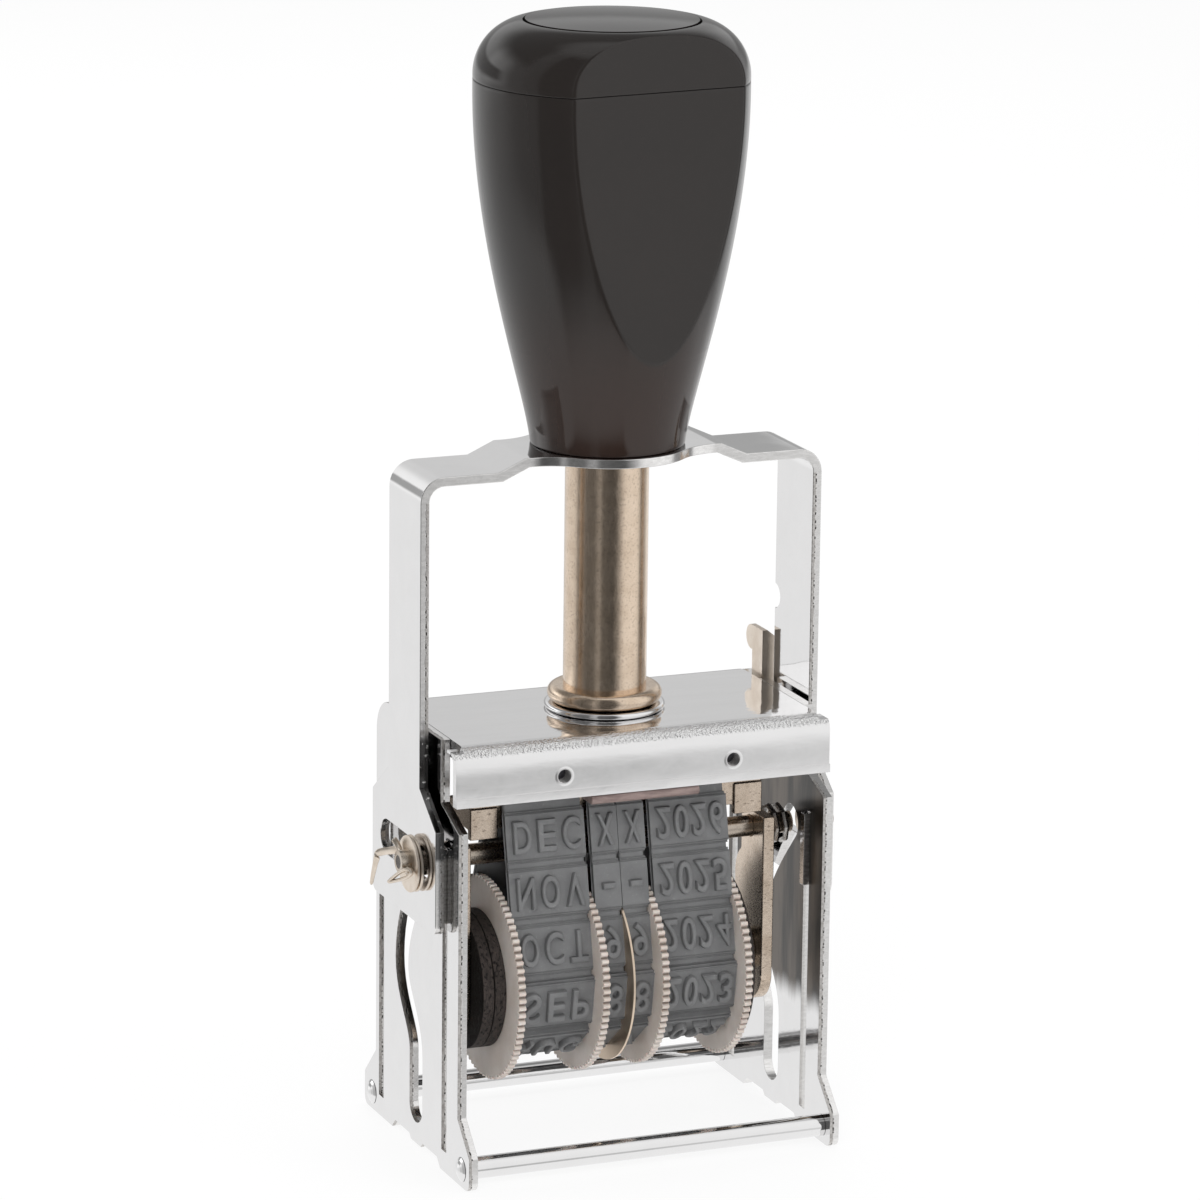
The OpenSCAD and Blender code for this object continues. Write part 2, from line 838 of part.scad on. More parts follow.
// Outside of the handle's body: a slim foot that swells to the cap.
function grip_curve() = [for (i = [0 : 16]) bezier([
    [grip_foot_r, pad_top], [grip_foot_r + 0.55, pad_top + 0.135 * grip_len],
    [grip_r + 0.35, pad_top + 0.556 * grip_len], [grip_r, seam_z]], i / 16)];

// The flat on the front of the handle is upright, and turned a little with the handle.
module facet_cut() {
    size = 4 * grip_r;
    rotate([0, 0, facet_turn])
        translate([-size / 2, -facet_in - size, pad_top - 1])
            cube([size, size, size * 2]);
}

module handle_body() {
    color(BLACK)
        difference() {
            rotate_extrude()
                polygon(concat([[0, pad_top]], grip_curve(), [[0, seam_z]]));
            facet_cut();
            translate([0, 0, pad_top - 1])
                cylinder(r = handle_bore, h = bore_top - pad_top + 1);
            translate([0, 0, seam_z - spigot_h - seat_gap])
                cylinder(r = spigot_r + seat_gap, h = spigot_h + 1);
            both_sides()
                translate([screw_x, 0, pad_under])
                    screw_body(run_fit);
        }
}

module handle_cap() {
    shoulder = cap_h - cap_round;
    color(BLACK)
        difference() {
            union() {
                rotate_extrude()
                    polygon(concat(
                        [[0, seam_z + seat_gap], [grip_r, seam_z + seat_gap]],
                        arc([grip_r - cap_round, seam_z + shoulder], cap_round, 0, 90, 8),
                        [[0, cap_top]]));
                translate([0, 0, seam_z - spigot_h])
                    cylinder(r = spigot_r, h = spigot_h + 0.5);
            }
            facet_cut();
            translate([0, 0, cap_top - disc_t_in])
                cylinder(r = disc_r + slide_gap, h = disc_t_in + 1);
        }
}

module handle_top_disc() {
    ball = (pow(disc_r, 2) + pow(disc_crown, 2)) / (2 * disc_crown);
    color(BLACK)
        translate([0, 0, cap_top - disc_t_in + seat_gap])
            intersection() {
                cylinder(r = disc_r, h = disc_t_in + disc_crown);
                translate([0, 0, disc_t_in + disc_crown - ball])
                    sphere(ball, $fn = 180);
            }
}

spring_lo = tube_seat + spring_wire + seat_gap;
spring_pitch = (bore_top - seat_gap - spring_wire - spring_lo) / spring_turns;
echo(return_spring_least_gap = coil_gap(spring_r, spring_wire, spring_pitch, spring_turns));

module return_spring() {
    color(NICKEL)
        translate([0, 0, spring_lo])
            coil(spring_r, spring_wire, spring_pitch, spring_turns);
}

// Axle ends in the yoke's slots

// The right end has a coned head, the left end a turned-down tip with a hole for the split pin.
module axle_ends() {
    color(NICKEL)
        at_axle() {
            rod_x(axle_end_r, plate_out + slide_gap, washer_x + 0.5);
            rod_x(axle_head_r, washer_x, washer_x + axle_head_t);
            translate([washer_x + axle_head_t, 0, 0])
                rotate([0, 90, 0])
                    cylinder(r1 = axle_head_r, r2 = axle_tip_r * 0.8, h = axle_tip - washer_x - axle_head_t);
            mirror([1, 0, 0])
                difference() {
                    union() {
                        rod_x(axle_end_r, plate_out + slide_gap, washer_x - seat_gap);
                        rod_x(axle_tip_r, plate_out + slide_gap, axle_tip);
                    }
                    translate([cotter_x, 0, 0])
                        rotate([-60, 0, 0])
                            cylinder(r = cotter_r + run_fit, h = 4 * axle_end_r, center = true);
                }
        }
}

// Two loose washers hang on the axle's left tip.
module axle_washers() {
    color(NICKEL)
        at_axle()
            mirror([1, 0, 0])
                for (i = [0, 1])
                    translate([i * (washer_t + seat_gap), 0, run_fit - washer_play])
                        difference() {
                            rod_x(washer_r, washer_x, washer_x + washer_t);
                            rod_x(axle_tip_r + washer_play, washer_x - 1, washer_x + washer_t + 1);
                        }
}

// Split pin: an eye, a shank through the axle and two legs spread apart.
module split_pin() {
    eye_r = 1.1;
    leg = 4.2;
    reach = axle_tip_r + 0.3;
    cylinder(r = cotter_r, h = 2 * reach, center = true);
    translate([0, 0, reach + eye_r])
        rotate([0, 90, 0])
            rotate_extrude()
                translate([eye_r, 0])
                    circle(cotter_r, $fn = 24);
    for (a = [-28, 32])
        translate([0, 0, -reach])
            rotate([180 + a, 0, 0]) {
                cylinder(r = cotter_r * 0.8, h = leg);
                sphere(cotter_r, $fn = 24);
            }
}

module cotter_pin() {
    color(NICKEL)
        at_axle()
            mirror([1, 0, 0])
                translate([cotter_x, 0, 0])
                    rotate([-60, 0, 0])
                        split_pin();
}

// Date block

module block_axle() {
    color(NICKEL)
        at_axle()
            rod_x(axle_r, -plate_in + slide_gap, plate_in - slide_gap);
}

// Side bar of the block: a neck round the axle above a wide, round-shouldered lower part.
module cheek(x0) {
    at_axle()
        difference() {
            sheet_x(x0, cheek_t) {
                obround([0, -shaft_drop - cheek_foot], [0, -shaft_drop / 2], cheek_half);
                translate([-cheek_half, -shaft_drop / 2])
                    square([cheek_half + neck_back, shaft_drop / 2 + cheek_top]);
                translate([-cheek_half, -shaft_drop / 2])
                    square([2 * cheek_half, shaft_drop / 2 - shoulder_drop]);
                translate([cheek_half - cheek_shoulder, -shoulder_drop])
                    circle(cheek_shoulder);
            }
            rod_x(axle_r + run_fit, x0 - 1, x0 + cheek_t + 1);
            translate([0, 0, -shaft_drop])
                rod_x(shaft_r + run_fit, x0 - 1, x0 + cheek_t + 1);
        }
}

module left_cheek() {
    color(NICKEL)
        cheek(left_cheek_x);
}

module right_cheek() {
    color(NICKEL)
        cheek(right_cheek_x);
}

// Inverted saddle at one end of the platen, with tabs down its front and back.
module saddle(x0, w) {
    lid = platen_top - saddle_lo - 1;
    sheet_x(x0, w)
        difference() {
            translate([-saddle_front, saddle_lo])
                square([saddle_front + saddle_back, lid]);
            translate([saddle_t - saddle_front, saddle_lo - 1])
                square([saddle_front + saddle_back - 2 * saddle_t, lid - saddle_t]);
        }
}

module platen_bridge() {
    bar_lo = platen_top - 4.2;
    edge = platen_round - seat_gap;
    depth = platen_front + platen_back;
    left = left_cheek_x + cheek_t + seat_gap;
    right = right_cheek_x - seat_gap;
    color(NICKEL)
        at_axle() {
            sheet_x(left, right - left) {
                translate([-platen_front - edge, bar_lo])
                    square([depth + 2 * edge, platen_top - platen_round - bar_lo]);
                translate([-platen_front, bar_lo])
                    square([depth, platen_top - seat_gap - bar_lo]);
                for (y = [-platen_front, platen_back])
                    translate([y, platen_top - platen_round])
                        circle(edge);
            }
            saddle(left, saddle_left_w);
            saddle(right - saddle_right_w, saddle_right_w);
        }
}

module wheel_shaft() {
    head_t = 0.6;
    left = left_cheek_x - seat_gap;
    right = right_cheek_x + cheek_t + seat_gap;
    disc_end = wheels_right + 2 * seat_gap + right_disc_t;
    color(NICKEL)
        at_shaft() {
            rod_x(shaft_r, left - head_t, right + head_t);
            rod_x(shaft_r + 1.1, left - head_t, left);
            rod_x(shaft_r + 1.1, right, right + head_t);
            rod_x(spacer_r, disc_end + seat_gap, right_cheek_x - seat_gap);
        }
}

module disc_on_shaft(r, x0, t) {
    at_shaft()
        difference() {
            rod_x(r, x0, x0 + t);
            rod_x(shaft_r + run_fit, x0 - 1, x0 + t + 1);
        }
}

module left_friction_discs() {
    color(FIBRE)
        for (i = [1, 2])
            disc_on_shaft(friction_r, wheels_left - i * (disc_t + seat_gap), disc_t);
}

module right_friction_disc() {
    color(FIBRE)
        disc_on_shaft(right_disc_r, wheels_right + seat_gap, right_disc_t);
}

module divider_disc() {
    color(BRASS)
        disc_on_shaft(divider_r, tens_x + day_band + side_gap, divider_t);
}

torsion_r = 2.7;
torsion_wire = 0.4;
torsion_turns = 2;
torsion_pitch = 1.4;
echo(torsion_spring_least_gap = coil_gap(torsion_r, torsion_wire, torsion_pitch, torsion_turns));

module torsion_spring() {
    color(NICKEL)
        at_axle()
            translate([right_cheek_x + cheek_t + torsion_wire + seat_gap, 0, 0])
                rotate([0, 90, 0])
                    coil(torsion_r, torsion_wire, torsion_pitch, torsion_turns);
}

// Bands. A band runs round the drum of its wheel and over the platen. Its path is drawn in
// (Y, Z) of the block, at a distance d outside the band's inner face.

drum_in = drum_r + slide_gap;
corner_z = platen_top - platen_round;

// Direction of the outside of the strand beside a platen edge that is a away from the axle,
// as an angle above the level on that side.
function strand_angle(a) =
    let (d = [a, corner_z + shaft_drop]) atan2(d[1], d[0]) - acos((drum_in - platen_round) / norm(d));

front_angle = strand_angle(platen_front);
back_angle = strand_angle(platen_back);

function belt_loop(d) = concat(
    arc([platen_back, corner_z], platen_round + d, 90, back_angle, 4),
    arc([0, -shaft_drop], drum_in + d, back_angle, -180 - front_angle, 28),
    arc([-platen_front, corner_z], platen_round + d, 180 - front_angle, 90, 4)
);

// Place and outward direction on the outer face of the band, at a length s from the middle of the
// platen to its edge a, down the strand with angle b and on round the drum, drawn to the +Y side.
function side_path(s, a, b) =
    let (flat = (platen_front + platen_back) / 2,
         corner = (platen_round + band_t) * rad(90 - b),
         strand = sqrt(pow(norm([a, corner_z + shaft_drop]), 2) - pow(drum_in - platen_round, 2)),
         n = [cos(b), sin(b)],
         u = s - flat,
         v = u - corner,
         w = v - strand)
    u < 0 ? [[a + u, platen_top + band_t], 90]
    : v < 0 ? let (t = 90 - u / corner * (90 - b)) [[a, corner_z] + (platen_round + band_t) * [cos(t), sin(t)], t]
    : w < 0 ? [[a, corner_z] + (platen_round + band_t) * n + v * [n[1], -n[0]], b]
    : let (t = b - w / (drum_in + band_t) * 180 / PI) [[0, -shaft_drop] + (drum_in + band_t) * [cos(t), sin(t)], t];

// The same for the whole band: positive lengths run down the front, negative ones down the back.
function band_path(s) =
    s < 0 ? side_path(-s, platen_back, back_angle)
    : let (q = side_path(s, platen_front, front_angle)) [[-q[0][0], q[0][1]], 180 - q[1]];

module band(x0, w) {
    root = 0.6;
    color(RUBBER)
        at_axle()
            sheet_x(x0, w) {
                difference() {
                    polygon(belt_loop(band_t));
                    polygon(belt_loop(0));
                }
                for (i = [0 : types - 1]) {
                    q = band_path((i - types / 2 + 1) * type_pitch + type_shift);
                    translate(q[0])
                        rotate(q[1])
                            translate([-root, -type_len / 2])
                                square([root + type_h, type_len]);
                }
            }
}

module month_band() {
    band(month_x, wide_band);
}

module tens_band() {
    band(tens_x, day_band);
}

module units_band() {
    band(units_x, day_band);
}

module year_band() {
    band(year_x, wide_band);
}

// Wheels

module toothed_disc() {
    step = 360 / teeth;
    polygon([for (i = [0 : teeth - 1], k = [0 : 2])
        let (a = (i + [0, 0.32, 0.66][k]) * step, r = wheel_r - [tooth_h, 0, 0][k])
            r * [cos(a), sin(a)]]);
}

// Toothed wheel with its flange at x0 and its drum from d0 to d1.
module date_wheel(x0, d0, d1) {
    color(IVORY)
        at_shaft()
            difference() {
                union() {
                    sheet_x(x0, wheel_t)
                        toothed_disc();
                    rod_x(drum_r, d0, d1);
                }
                rod_x(shaft_r + run_fit, min(x0, d0) - 1, max(x0 + wheel_t, d1) + 1);
            }
}

module month_wheel() {
    date_wheel(wheels_left, wheels_left, month_x + wide_band);
}

module tens_wheel() {
    x0 = tens_x - side_gap - wheel_t;
    date_wheel(x0, x0, tens_x + day_band);
}

module units_wheel() {
    date_wheel(units_wheel_x, units_x, units_wheel_x + wheel_t);
}

module year_wheel() {
    date_wheel(year_wheel_x, year_x, year_wheel_x + wheel_t);
}

left_side_plate();
right_side_plate();
top_channel();
front_tie_bar();
rear_tie_bar();
pad_tray();
ink_pad();
spring_tube();
tube_washer();
latch_pin();
lock_latch();
strap_yoke();
handle_body();
handle_cap();
handle_top_disc();
handle_screws();
return_spring();
axle_ends();
axle_washers();
cotter_pin();
block_axle();
left_cheek();
right_cheek();
platen_bridge();
wheel_shaft();
left_friction_discs();
right_friction_disc();
divider_disc();
torsion_spring();
month_band();
tens_band();
units_band();
year_band();
month_wheel();
tens_wheel();
units_wheel();
year_wheel();
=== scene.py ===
import math

import bmesh
import bpy
from mathutils import Matrix, Vector


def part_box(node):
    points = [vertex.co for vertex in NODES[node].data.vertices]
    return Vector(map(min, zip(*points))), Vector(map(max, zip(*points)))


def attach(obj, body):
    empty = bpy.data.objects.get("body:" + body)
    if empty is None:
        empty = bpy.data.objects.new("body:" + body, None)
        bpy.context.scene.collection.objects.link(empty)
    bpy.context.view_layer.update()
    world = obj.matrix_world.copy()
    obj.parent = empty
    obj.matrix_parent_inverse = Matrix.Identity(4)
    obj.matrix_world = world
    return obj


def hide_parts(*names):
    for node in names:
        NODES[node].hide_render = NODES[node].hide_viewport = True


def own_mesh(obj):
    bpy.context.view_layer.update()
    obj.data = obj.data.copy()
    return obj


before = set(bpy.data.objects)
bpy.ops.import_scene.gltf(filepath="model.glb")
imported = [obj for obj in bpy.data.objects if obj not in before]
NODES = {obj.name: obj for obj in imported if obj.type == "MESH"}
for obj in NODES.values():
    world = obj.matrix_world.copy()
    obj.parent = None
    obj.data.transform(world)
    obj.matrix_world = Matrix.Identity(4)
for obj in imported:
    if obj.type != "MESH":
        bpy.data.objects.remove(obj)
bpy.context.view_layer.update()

MM = 0.001
scene = bpy.context.scene
scene.view_settings.view_transform = "Standard"


# Camera

CAM_AZIMUTH = math.radians(-22.386)
CAM_PITCH = math.radians(14.045)
CAM_ROLL = math.radians(0.675)
CAM_PLACE = (-0.32140, -0.77825, 0.28993)
CAM_LENS = 181.37


def make_camera():
    level = math.cos(CAM_PITCH)
    ahead = Vector((-math.sin(CAM_AZIMUTH) * level, math.cos(CAM_AZIMUTH) * level, -math.sin(CAM_PITCH)))
    right = Vector((math.cos(CAM_AZIMUTH), math.sin(CAM_AZIMUTH), 0))
    up = right.cross(ahead)
    c, s = math.cos(CAM_ROLL), math.sin(CAM_ROLL)
    turn = Matrix((c * right + s * up, c * up - s * right, -ahead)).transposed().to_4x4()
    data = bpy.data.cameras.new("camera")
    data.lens = CAM_LENS
    data.sensor_width = 36
    data.clip_start = 0.01
    data.clip_end = 100
    cam = bpy.data.objects.new("camera", data)
    cam.matrix_world = Matrix.Translation(CAM_PLACE) @ turn
    scene.collection.objects.link(cam)
    scene.camera = cam


# Node helpers

def add(nt, kind, props=None, sockets=None):
    """Adds a shader node with these properties and inputs."""
    n = nt.nodes.new("ShaderNode" + kind)
    for k, v in (props or {}).items():
        setattr(n, k, v)
    for k, v in (sockets or {}).items():
        put(nt, n.inputs[k], v)
    return n


def put(nt, socket, v):
    """Links an output to a socket, or sets the socket's value."""
    if isinstance(v, bpy.types.NodeSocket):
        nt.links.new(v, socket)
    else:
        socket.default_value = v


def math_node(nt, op, a, b=0.0):
    return add(nt, "Math", {"operation": op}, {0: a, 1: b}).outputs[0]


# Sockets of a Mix node for colours
MIX_SHARE, MIX_A, MIX_B, MIX_OUT = 0, 6, 7, 2


def blend(nt, a, b, share):
    sockets = {MIX_SHARE: share, MIX_A: a, MIX_B: b}
    return add(nt, "Mix", {"data_type": "RGBA"}, sockets).outputs[MIX_OUT]


def between(nt, v, a, b, c=0.0, d=1.0):
    """Eases from c to d while v goes from a to b."""
    kinds = {"interpolation_type": "SMOOTHSTEP"}
    return add(nt, "MapRange", kinds, {0: v, 1: a, 2: b, 3: c, 4: d}).outputs[0]


def grey(v):
    return (v, v, v, 1)


def ramp(nt, turn, stops, mode="LINEAR"):
    """Grey by azimuth; the stops are (degrees, brightness)."""
    n = add(nt, "ValToRGB", None, {"Fac": turn})
    r = n.color_ramp
    r.interpolation = mode
    while len(r.elements) < len(stops):
        r.elements.new(0.5)
    for e, (degrees, v) in zip(r.elements, stops):
        e.position = (degrees + 180) / 360
        e.color = grey(v)
    return n.outputs["Color"]


def coords(nt, stretch=(1, 1, 1)):
    """Rest place in millimetres, times stretch."""
    tc = add(nt, "TexCoord")
    scale = tuple(s / MM for s in stretch)
    return add(nt, "Mapping", None, {"Vector": tc.outputs["Object"], "Scale": scale}).outputs[0]


def noise(nt, vec, scale, detail=3.0, rough=0.55, warp=0.0):
    sockets = {"Vector": vec, "Scale": scale, "Detail": detail, "Roughness": rough, "Distortion": warp}
    return add(nt, "TexNoise", None, sockets).outputs[0]


def bump(nt, height, strength, distance, normal=None):
    sockets = {"Strength": strength, "Distance": distance * MM, "Height": height}
    if normal is not None:
        sockets["Normal"] = normal
    return add(nt, "Bump", None, sockets).outputs[0]


def facing(nt):
    """The three parts of the surface's own normal."""
    return add(nt, "SeparateXYZ", None, {0: add(nt, "TexCoord").outputs["Normal"]}).outputs


def normal_part(nt, axis):
    """Size of one part of the surface's own normal."""
    return math_node(nt, "ABSOLUTE", facing(nt)[axis])


def place_part(nt, axis):
    """One coordinate of the rest place, in millimetres."""
    return add(nt, "SeparateXYZ", None, {0: coords(nt)}).outputs[axis]


def material(name, color, metallic=0.0, roughness=0.5, **more):
    """A Principled material, with its tree and shader; more sets other inputs, _ for each space."""
    m = bpy.data.materials.new(name)
    m.use_nodes = True
    nt = m.node_tree
    b = nt.nodes["Principled BSDF"]
    put(nt, b.inputs["Base Color"], (*color, 1))
    b.inputs["Metallic"].default_value = metallic
    b.inputs["Roughness"].default_value = roughness
    for k, v in more.items():
        b.inputs[k.replace("_", " ")].default_value = v
    return m, nt, b


# Materials

CHROME = (0.83, 0.84, 0.85)


def times(nt, *parts):
    out = parts[0]
    for p in parts[1:]:
        out = math_node(nt, "MULTIPLY", out, p)
    return out


def minus(nt, a, b):
    return math_node(nt, "SUBTRACT", a, b)


def flip(nt, v):
    return minus(nt, 1.0, v)


def hypot(nt, a, b):
    return math_node(nt, "SQRT", math_node(nt, "ADD", times(nt, a, a), times(nt, b, b)))


def plating(nt):
    """Tone, roughness and normal of bright chrome plate with a faint haze."""
    waves = noise(nt, coords(nt), 0.06, 2.0)
    peel = noise(nt, coords(nt), 1.6, 2.0)
    haze = noise(nt, coords(nt), 0.22, 5.0, 0.65)
    tone = blend(nt, (0.795, 0.79, 0.79, 1), (0.875, 0.87, 0.87, 1), haze)
    rough = between(nt, haze, 0.3, 0.75, 0.045, 0.12)
    return tone, rough, bump(nt, peel, 0.05, 0.05, bump(nt, waves, 0.3, 0.25))


# Heights between which the painted dark reflection on the left edges grows paler, and those where it begins
# and ends
EDGE_REFLECTION_PALE = (55.5, 54.0)
EDGE_REFLECTION_LOW, EDGE_REFLECTION_HIGH = 46.5, 64.5


def cut_edge(nt, look, where, across, along, harsh=1.0, edge_reflection=0.0):
    """Puts a punched edge on a sheet: part of its thickness burnished, the rest torn, dots between them,
    and a painted dark reflection with pale ticks where the last argument says so.
    """
    tone, rough, shape = look
    drag = noise(nt, coords(nt, along), 2.4, 4.0, 0.65)
    wander = minus(nt, noise(nt, coords(nt), 0.8, 3.0), 0.5)
    place = math_node(nt, "ADD", across, times(nt, wander, 0.35))
    torn = times(nt, between(nt, place, 0.44, 0.32), harsh)
    line = between(nt, math_node(nt, "ABSOLUTE", minus(nt, place, 0.34)), 0.11, 0.04)
    dots = times(nt, line, between(nt, drag, 0.5, 0.58), harsh)
    smooth = blend(nt, (0.78, 0.77, 0.76, 1), (0.90, 0.89, 0.88, 1), between(nt, drag, 0.3, 0.7))
    broken = blend(nt, (0.46, 0.44, 0.42, 1), (0.76, 0.74, 0.72, 1), between(nt, drag, 0.3, 0.7))
    edge = blend(nt, blend(nt, smooth, broken, torn), (0.06, 0.055, 0.05, 1), dots)
    ticks = between(nt, noise(nt, coords(nt), 1.1, 3.0), 0.60, 0.66)
    # Painted dark reflection with pale ticks, paler higher up, laid over the edge where the last argument
    # says so.
    pale = between(nt, place_part(nt, 2), *EDGE_REFLECTION_PALE)
    black = blend(nt, (0.035, 0.034, 0.034, 1), grey(0.12), pale)
    edge = blend(nt, edge, blend(nt, black, (0.75, 0.74, 0.73, 1), ticks), edge_reflection)
    tone = blend(nt, tone, edge, where)
    rough = blend(nt, rough, blend(nt, grey(0.17), grey(0.4), torn), where)
    lift = times(nt, where, math_node(nt, "ADD", times(nt, drag, torn), flip(nt, dots)))
    return tone, rough, bump(nt, lift, 0.35, 0.07, shape)


def edge_reflection_mask(nt):
    """Where the left edges get a painted dark reflection."""
    z = place_part(nt, 2)
    left = math_node(nt, "LESS_THAN", place_part(nt, 0), 0.0)
    above = between(nt, z, EDGE_REFLECTION_LOW, EDGE_REFLECTION_LOW + 0.8)
    below = between(nt, z, EDGE_REFLECTION_HIGH, EDGE_REFLECTION_HIGH - 2.0)
    return times(nt, left, above, below, 0.93)


def wear(b, nt, look):
    """Connects a look, (tone, roughness, normal), to a shader."""
    for name, v in zip(("Base Color", "Roughness", "Normal"), look):
        put(nt, b.inputs[name], v)


def chrome():
    """Bars and washer: bright plate."""
    m, nt, b = material("chrome_turned", CHROME, 1.0, 0.06)
    wear(b, nt, plating(nt))
    return m


PLATE_IN, PLATE_OUT = 27.35, 28.75
AXLE_Y, AXLE_Z = -5.5, 45.1
FACET_IN, FACET_TURN = 14.25, math.radians(6)
SLOTS_BEHIND = -12.6
# Heights over which the painted reflection on the plates' insides fades in
INNER_REFLECTION_ABOVE = (20.0, 24.0)


def plate_chrome():
    """Side plates: bright outside, punched edges, and above the feet a rougher inside with a painted dark
    brown reflection.
    """
    m, nt, b = material("chrome_plates", CHROME, 1.0, 0.06)
    x, z = place_part(nt, 0), place_part(nt, 2)
    right = math_node(nt, "GREATER_THAN", x, 0.0)
    across = math_node(nt, "ADD", x, PLATE_OUT)
    across = minus(nt, across, times(nt, right, PLATE_IN + PLATE_OUT))
    across = math_node(nt, "DIVIDE", across, PLATE_OUT - PLATE_IN)
    where = between(nt, normal_part(nt, 0), 0.75, 0.5)
    slots = math_node(nt, "GREATER_THAN", place_part(nt, 1), SLOTS_BEHIND)
    harsh = flip(nt, times(nt, right, slots))
    tone, rough, shape = cut_edge(nt, plating(nt), where, across, (0.3, 1, 1), harsh)
    # Painted dark brown reflection, clouded, on the plates' inner faces above the feet; the plate is
    # rougher there too.
    inward = times(nt, facing(nt)[0], math_node(nt, "SIGN", x), -1.0)
    cloud = noise(nt, coords(nt, (1, 1, 0.14)), 0.3, 4.0)
    height = math_node(nt, "ADD", z, times(nt, cloud, 4.0))
    inner_reflection = times(nt, between(nt, inward, 0.6, 0.85), between(nt, height, *INNER_REFLECTION_ABOVE), 0.95)
    reflected_brown = blend(nt, (0.012, 0.010, 0.008, 1), (0.10, 0.082, 0.066, 1), between(nt, cloud, 0.35, 0.65))
    tone = blend(nt, tone, reflected_brown, inner_reflection)
    rough = blend(nt, rough, grey(0.3), inner_reflection)
    wear(b, nt, (tone, rough, shape))
    return m


ARM_IN, ARM_OUT = 29.45, 30.8
STRAP_TOP = (96.0, 98.0)


def strap_chrome():
    """Yoke: bright plate, with punched edges to the front and rear."""
    m, nt, b = material("chrome_strap", CHROME, 1.0, 0.06)
    across = minus(nt, math_node(nt, "ABSOLUTE", place_part(nt, 0)), ARM_IN)
    across = math_node(nt, "DIVIDE", across, ARM_OUT - ARM_IN)
    top = between(nt, place_part(nt, 2), *STRAP_TOP, 0.0, 0.6)
    across = math_node(nt, "MAXIMUM", across, top)
    where = between(nt, normal_part(nt, 1), 0.25, 0.45)
    # The left arm's edges get a painted dark reflection between two heights.
    wear(b, nt, cut_edge(nt, plating(nt), where, across, (0.3, 1, 1), edge_reflection=edge_reflection_mask(nt)))
    return m


FLANGE_MID, FLANGE_CROWN = 57.6, -0.0162
HOLE_MID, HOLE_HALF, HOLE_Z = 0.7, 13.0, 58.3
HOLE_WALL, HOLE_LIP, THREAD_TURN = (1.3, 1.2), (1.5, 1.1), 14.0
BEND_FRONT, BEND_FROM, BEND_TO = (-13.2, -14.2), (61.9, 62.5), (63.62, 63.5)
# Heights where the flange's roughness begins, and the height and depth where the painted shade under and
# inside the channel begins
FLANGE_BELOW, SHADE_ABOVE, SHADE_BEHIND = (61.5, 60.0), (53.2, 54.0), (8.0, 10.0)


def channel_chrome():
    """Top channel: pebbled along its front bend, streaked on its flange, with painted dark brown shade on
    its underside and inside its rear.
    """
    m, nt, b = material("chrome_channel", CHROME, 1.0, 0.06)
    y, z = place_part(nt, 1), place_part(nt, 2)
    front = between(nt, y, *BEND_FRONT)
    on_bend = times(nt, front, between(nt, z, *BEND_FROM), between(nt, z, *BEND_TO))
    pebbles = noise(nt, coords(nt, (1, 1.3, 1.3)), 2.8, 2.0, 0.55)
    waves = noise(nt, coords(nt, (0.4, 1, 1)), 0.12, 2.0)
    haze = noise(nt, coords(nt, (0.15, 1, 1)), 0.5, 5.0, 0.65)
    flange = between(nt, z, *FLANGE_BELOW)
    bright = between(nt, haze, 0.3, 0.75, 0.05, 0.1)
    rough = blend(nt, bright, between(nt, haze, 0.3, 0.75, 0.14, 0.24), flange)
    bend = times(nt, pebbles, on_bend)
    parts = facing(nt)
    off = minus(nt, z, FLANGE_MID)
    crown = times(nt, off, off, FLANGE_CROWN, between(nt, parts[1], -0.6, -0.9))
    clouds = noise(nt, coords(nt, (0.5, 1, 1)), 0.34, 3.0, 0.5)
    shape = bump(nt, clouds, 0.3, 0.12, bump(nt, waves, 0.4, 0.35, bump(nt, crown, 1.0, 1.0)))
    shape = bump(nt, bend, 1.0, 0.22, shape)
    tone = blend(nt, (0.78, 0.775, 0.775, 1), (0.88, 0.875, 0.875, 1), haze)
    side = math_node(nt, "ABSOLUTE", minus(nt, place_part(nt, 0), HOLE_MID))
    reach = hypot(nt, minus(nt, side, HOLE_HALF), minus(nt, z, HOLE_Z))
    wall = times(nt, between(nt, reach, *HOLE_WALL), between(nt, normal_part(nt, 1), 0.6, 0.3))
    thread = times(nt, math_node(nt, "SINE", times(nt, y, THREAD_TURN)), wall)
    lip = between(nt, reach, *HOLE_LIP)
    shape = bump(nt, lip, 0.4, 0.07, bump(nt, thread, 1.0, 0.2, shape))
    rough = blend(nt, rough, grey(0.38), wall)
    tone = blend(nt, tone, (0.82, 0.80, 0.79, 1), wall)
    # Painted shade: a dark brown tone on the channel's underside and on the inner face of its rear part,
    # above a height.
    under = between(nt, parts[2], -0.4, -0.7)
    behind = times(nt, between(nt, y, *SHADE_BEHIND), between(nt, parts[1], -0.4, -0.7))
    inner_shade = times(nt, math_node(nt, "MAXIMUM", under, behind), between(nt, z, *SHADE_ABOVE))
    tone = blend(nt, tone, blend(nt, (0.05, 0.04, 0.035, 1), (0.20, 0.16, 0.13, 1), haze), inner_shade)
    wear(b, nt, (tone, rough, shape))
    return m


def nickel(name, color, dark, rough=(0.2, 0.34), grain=(1, 1, 1), speckle=0.0, relief=0.12):
    """Satin nickel of two tones with a fine grain, and dark specks where speckle says so."""
    m, nt, b = material(name, color, 1.0, 0.3)
    fine = noise(nt, coords(nt, grain), 2.4, 5.0, 0.7)
    cloud = noise(nt, coords(nt), 0.35, 4.0)
    spots = between(nt, noise(nt, coords(nt), 2.7, 3.0, 0.6), 0.54, 0.64)
    tone = blend(nt, (*color, 1), (*dark, 1), between(nt, cloud, 0.35, 0.75))
    tone = blend(nt, tone, (*[0.45 * c for c in dark], 1), times(nt, spots, speckle))
    put(nt, b.inputs["Base Color"], tone)
    put(nt, b.inputs["Roughness"], between(nt, fine, 0.3, 0.75, *rough))
    put(nt, b.inputs["Normal"], bump(nt, fine, relief, 0.05))
    return m


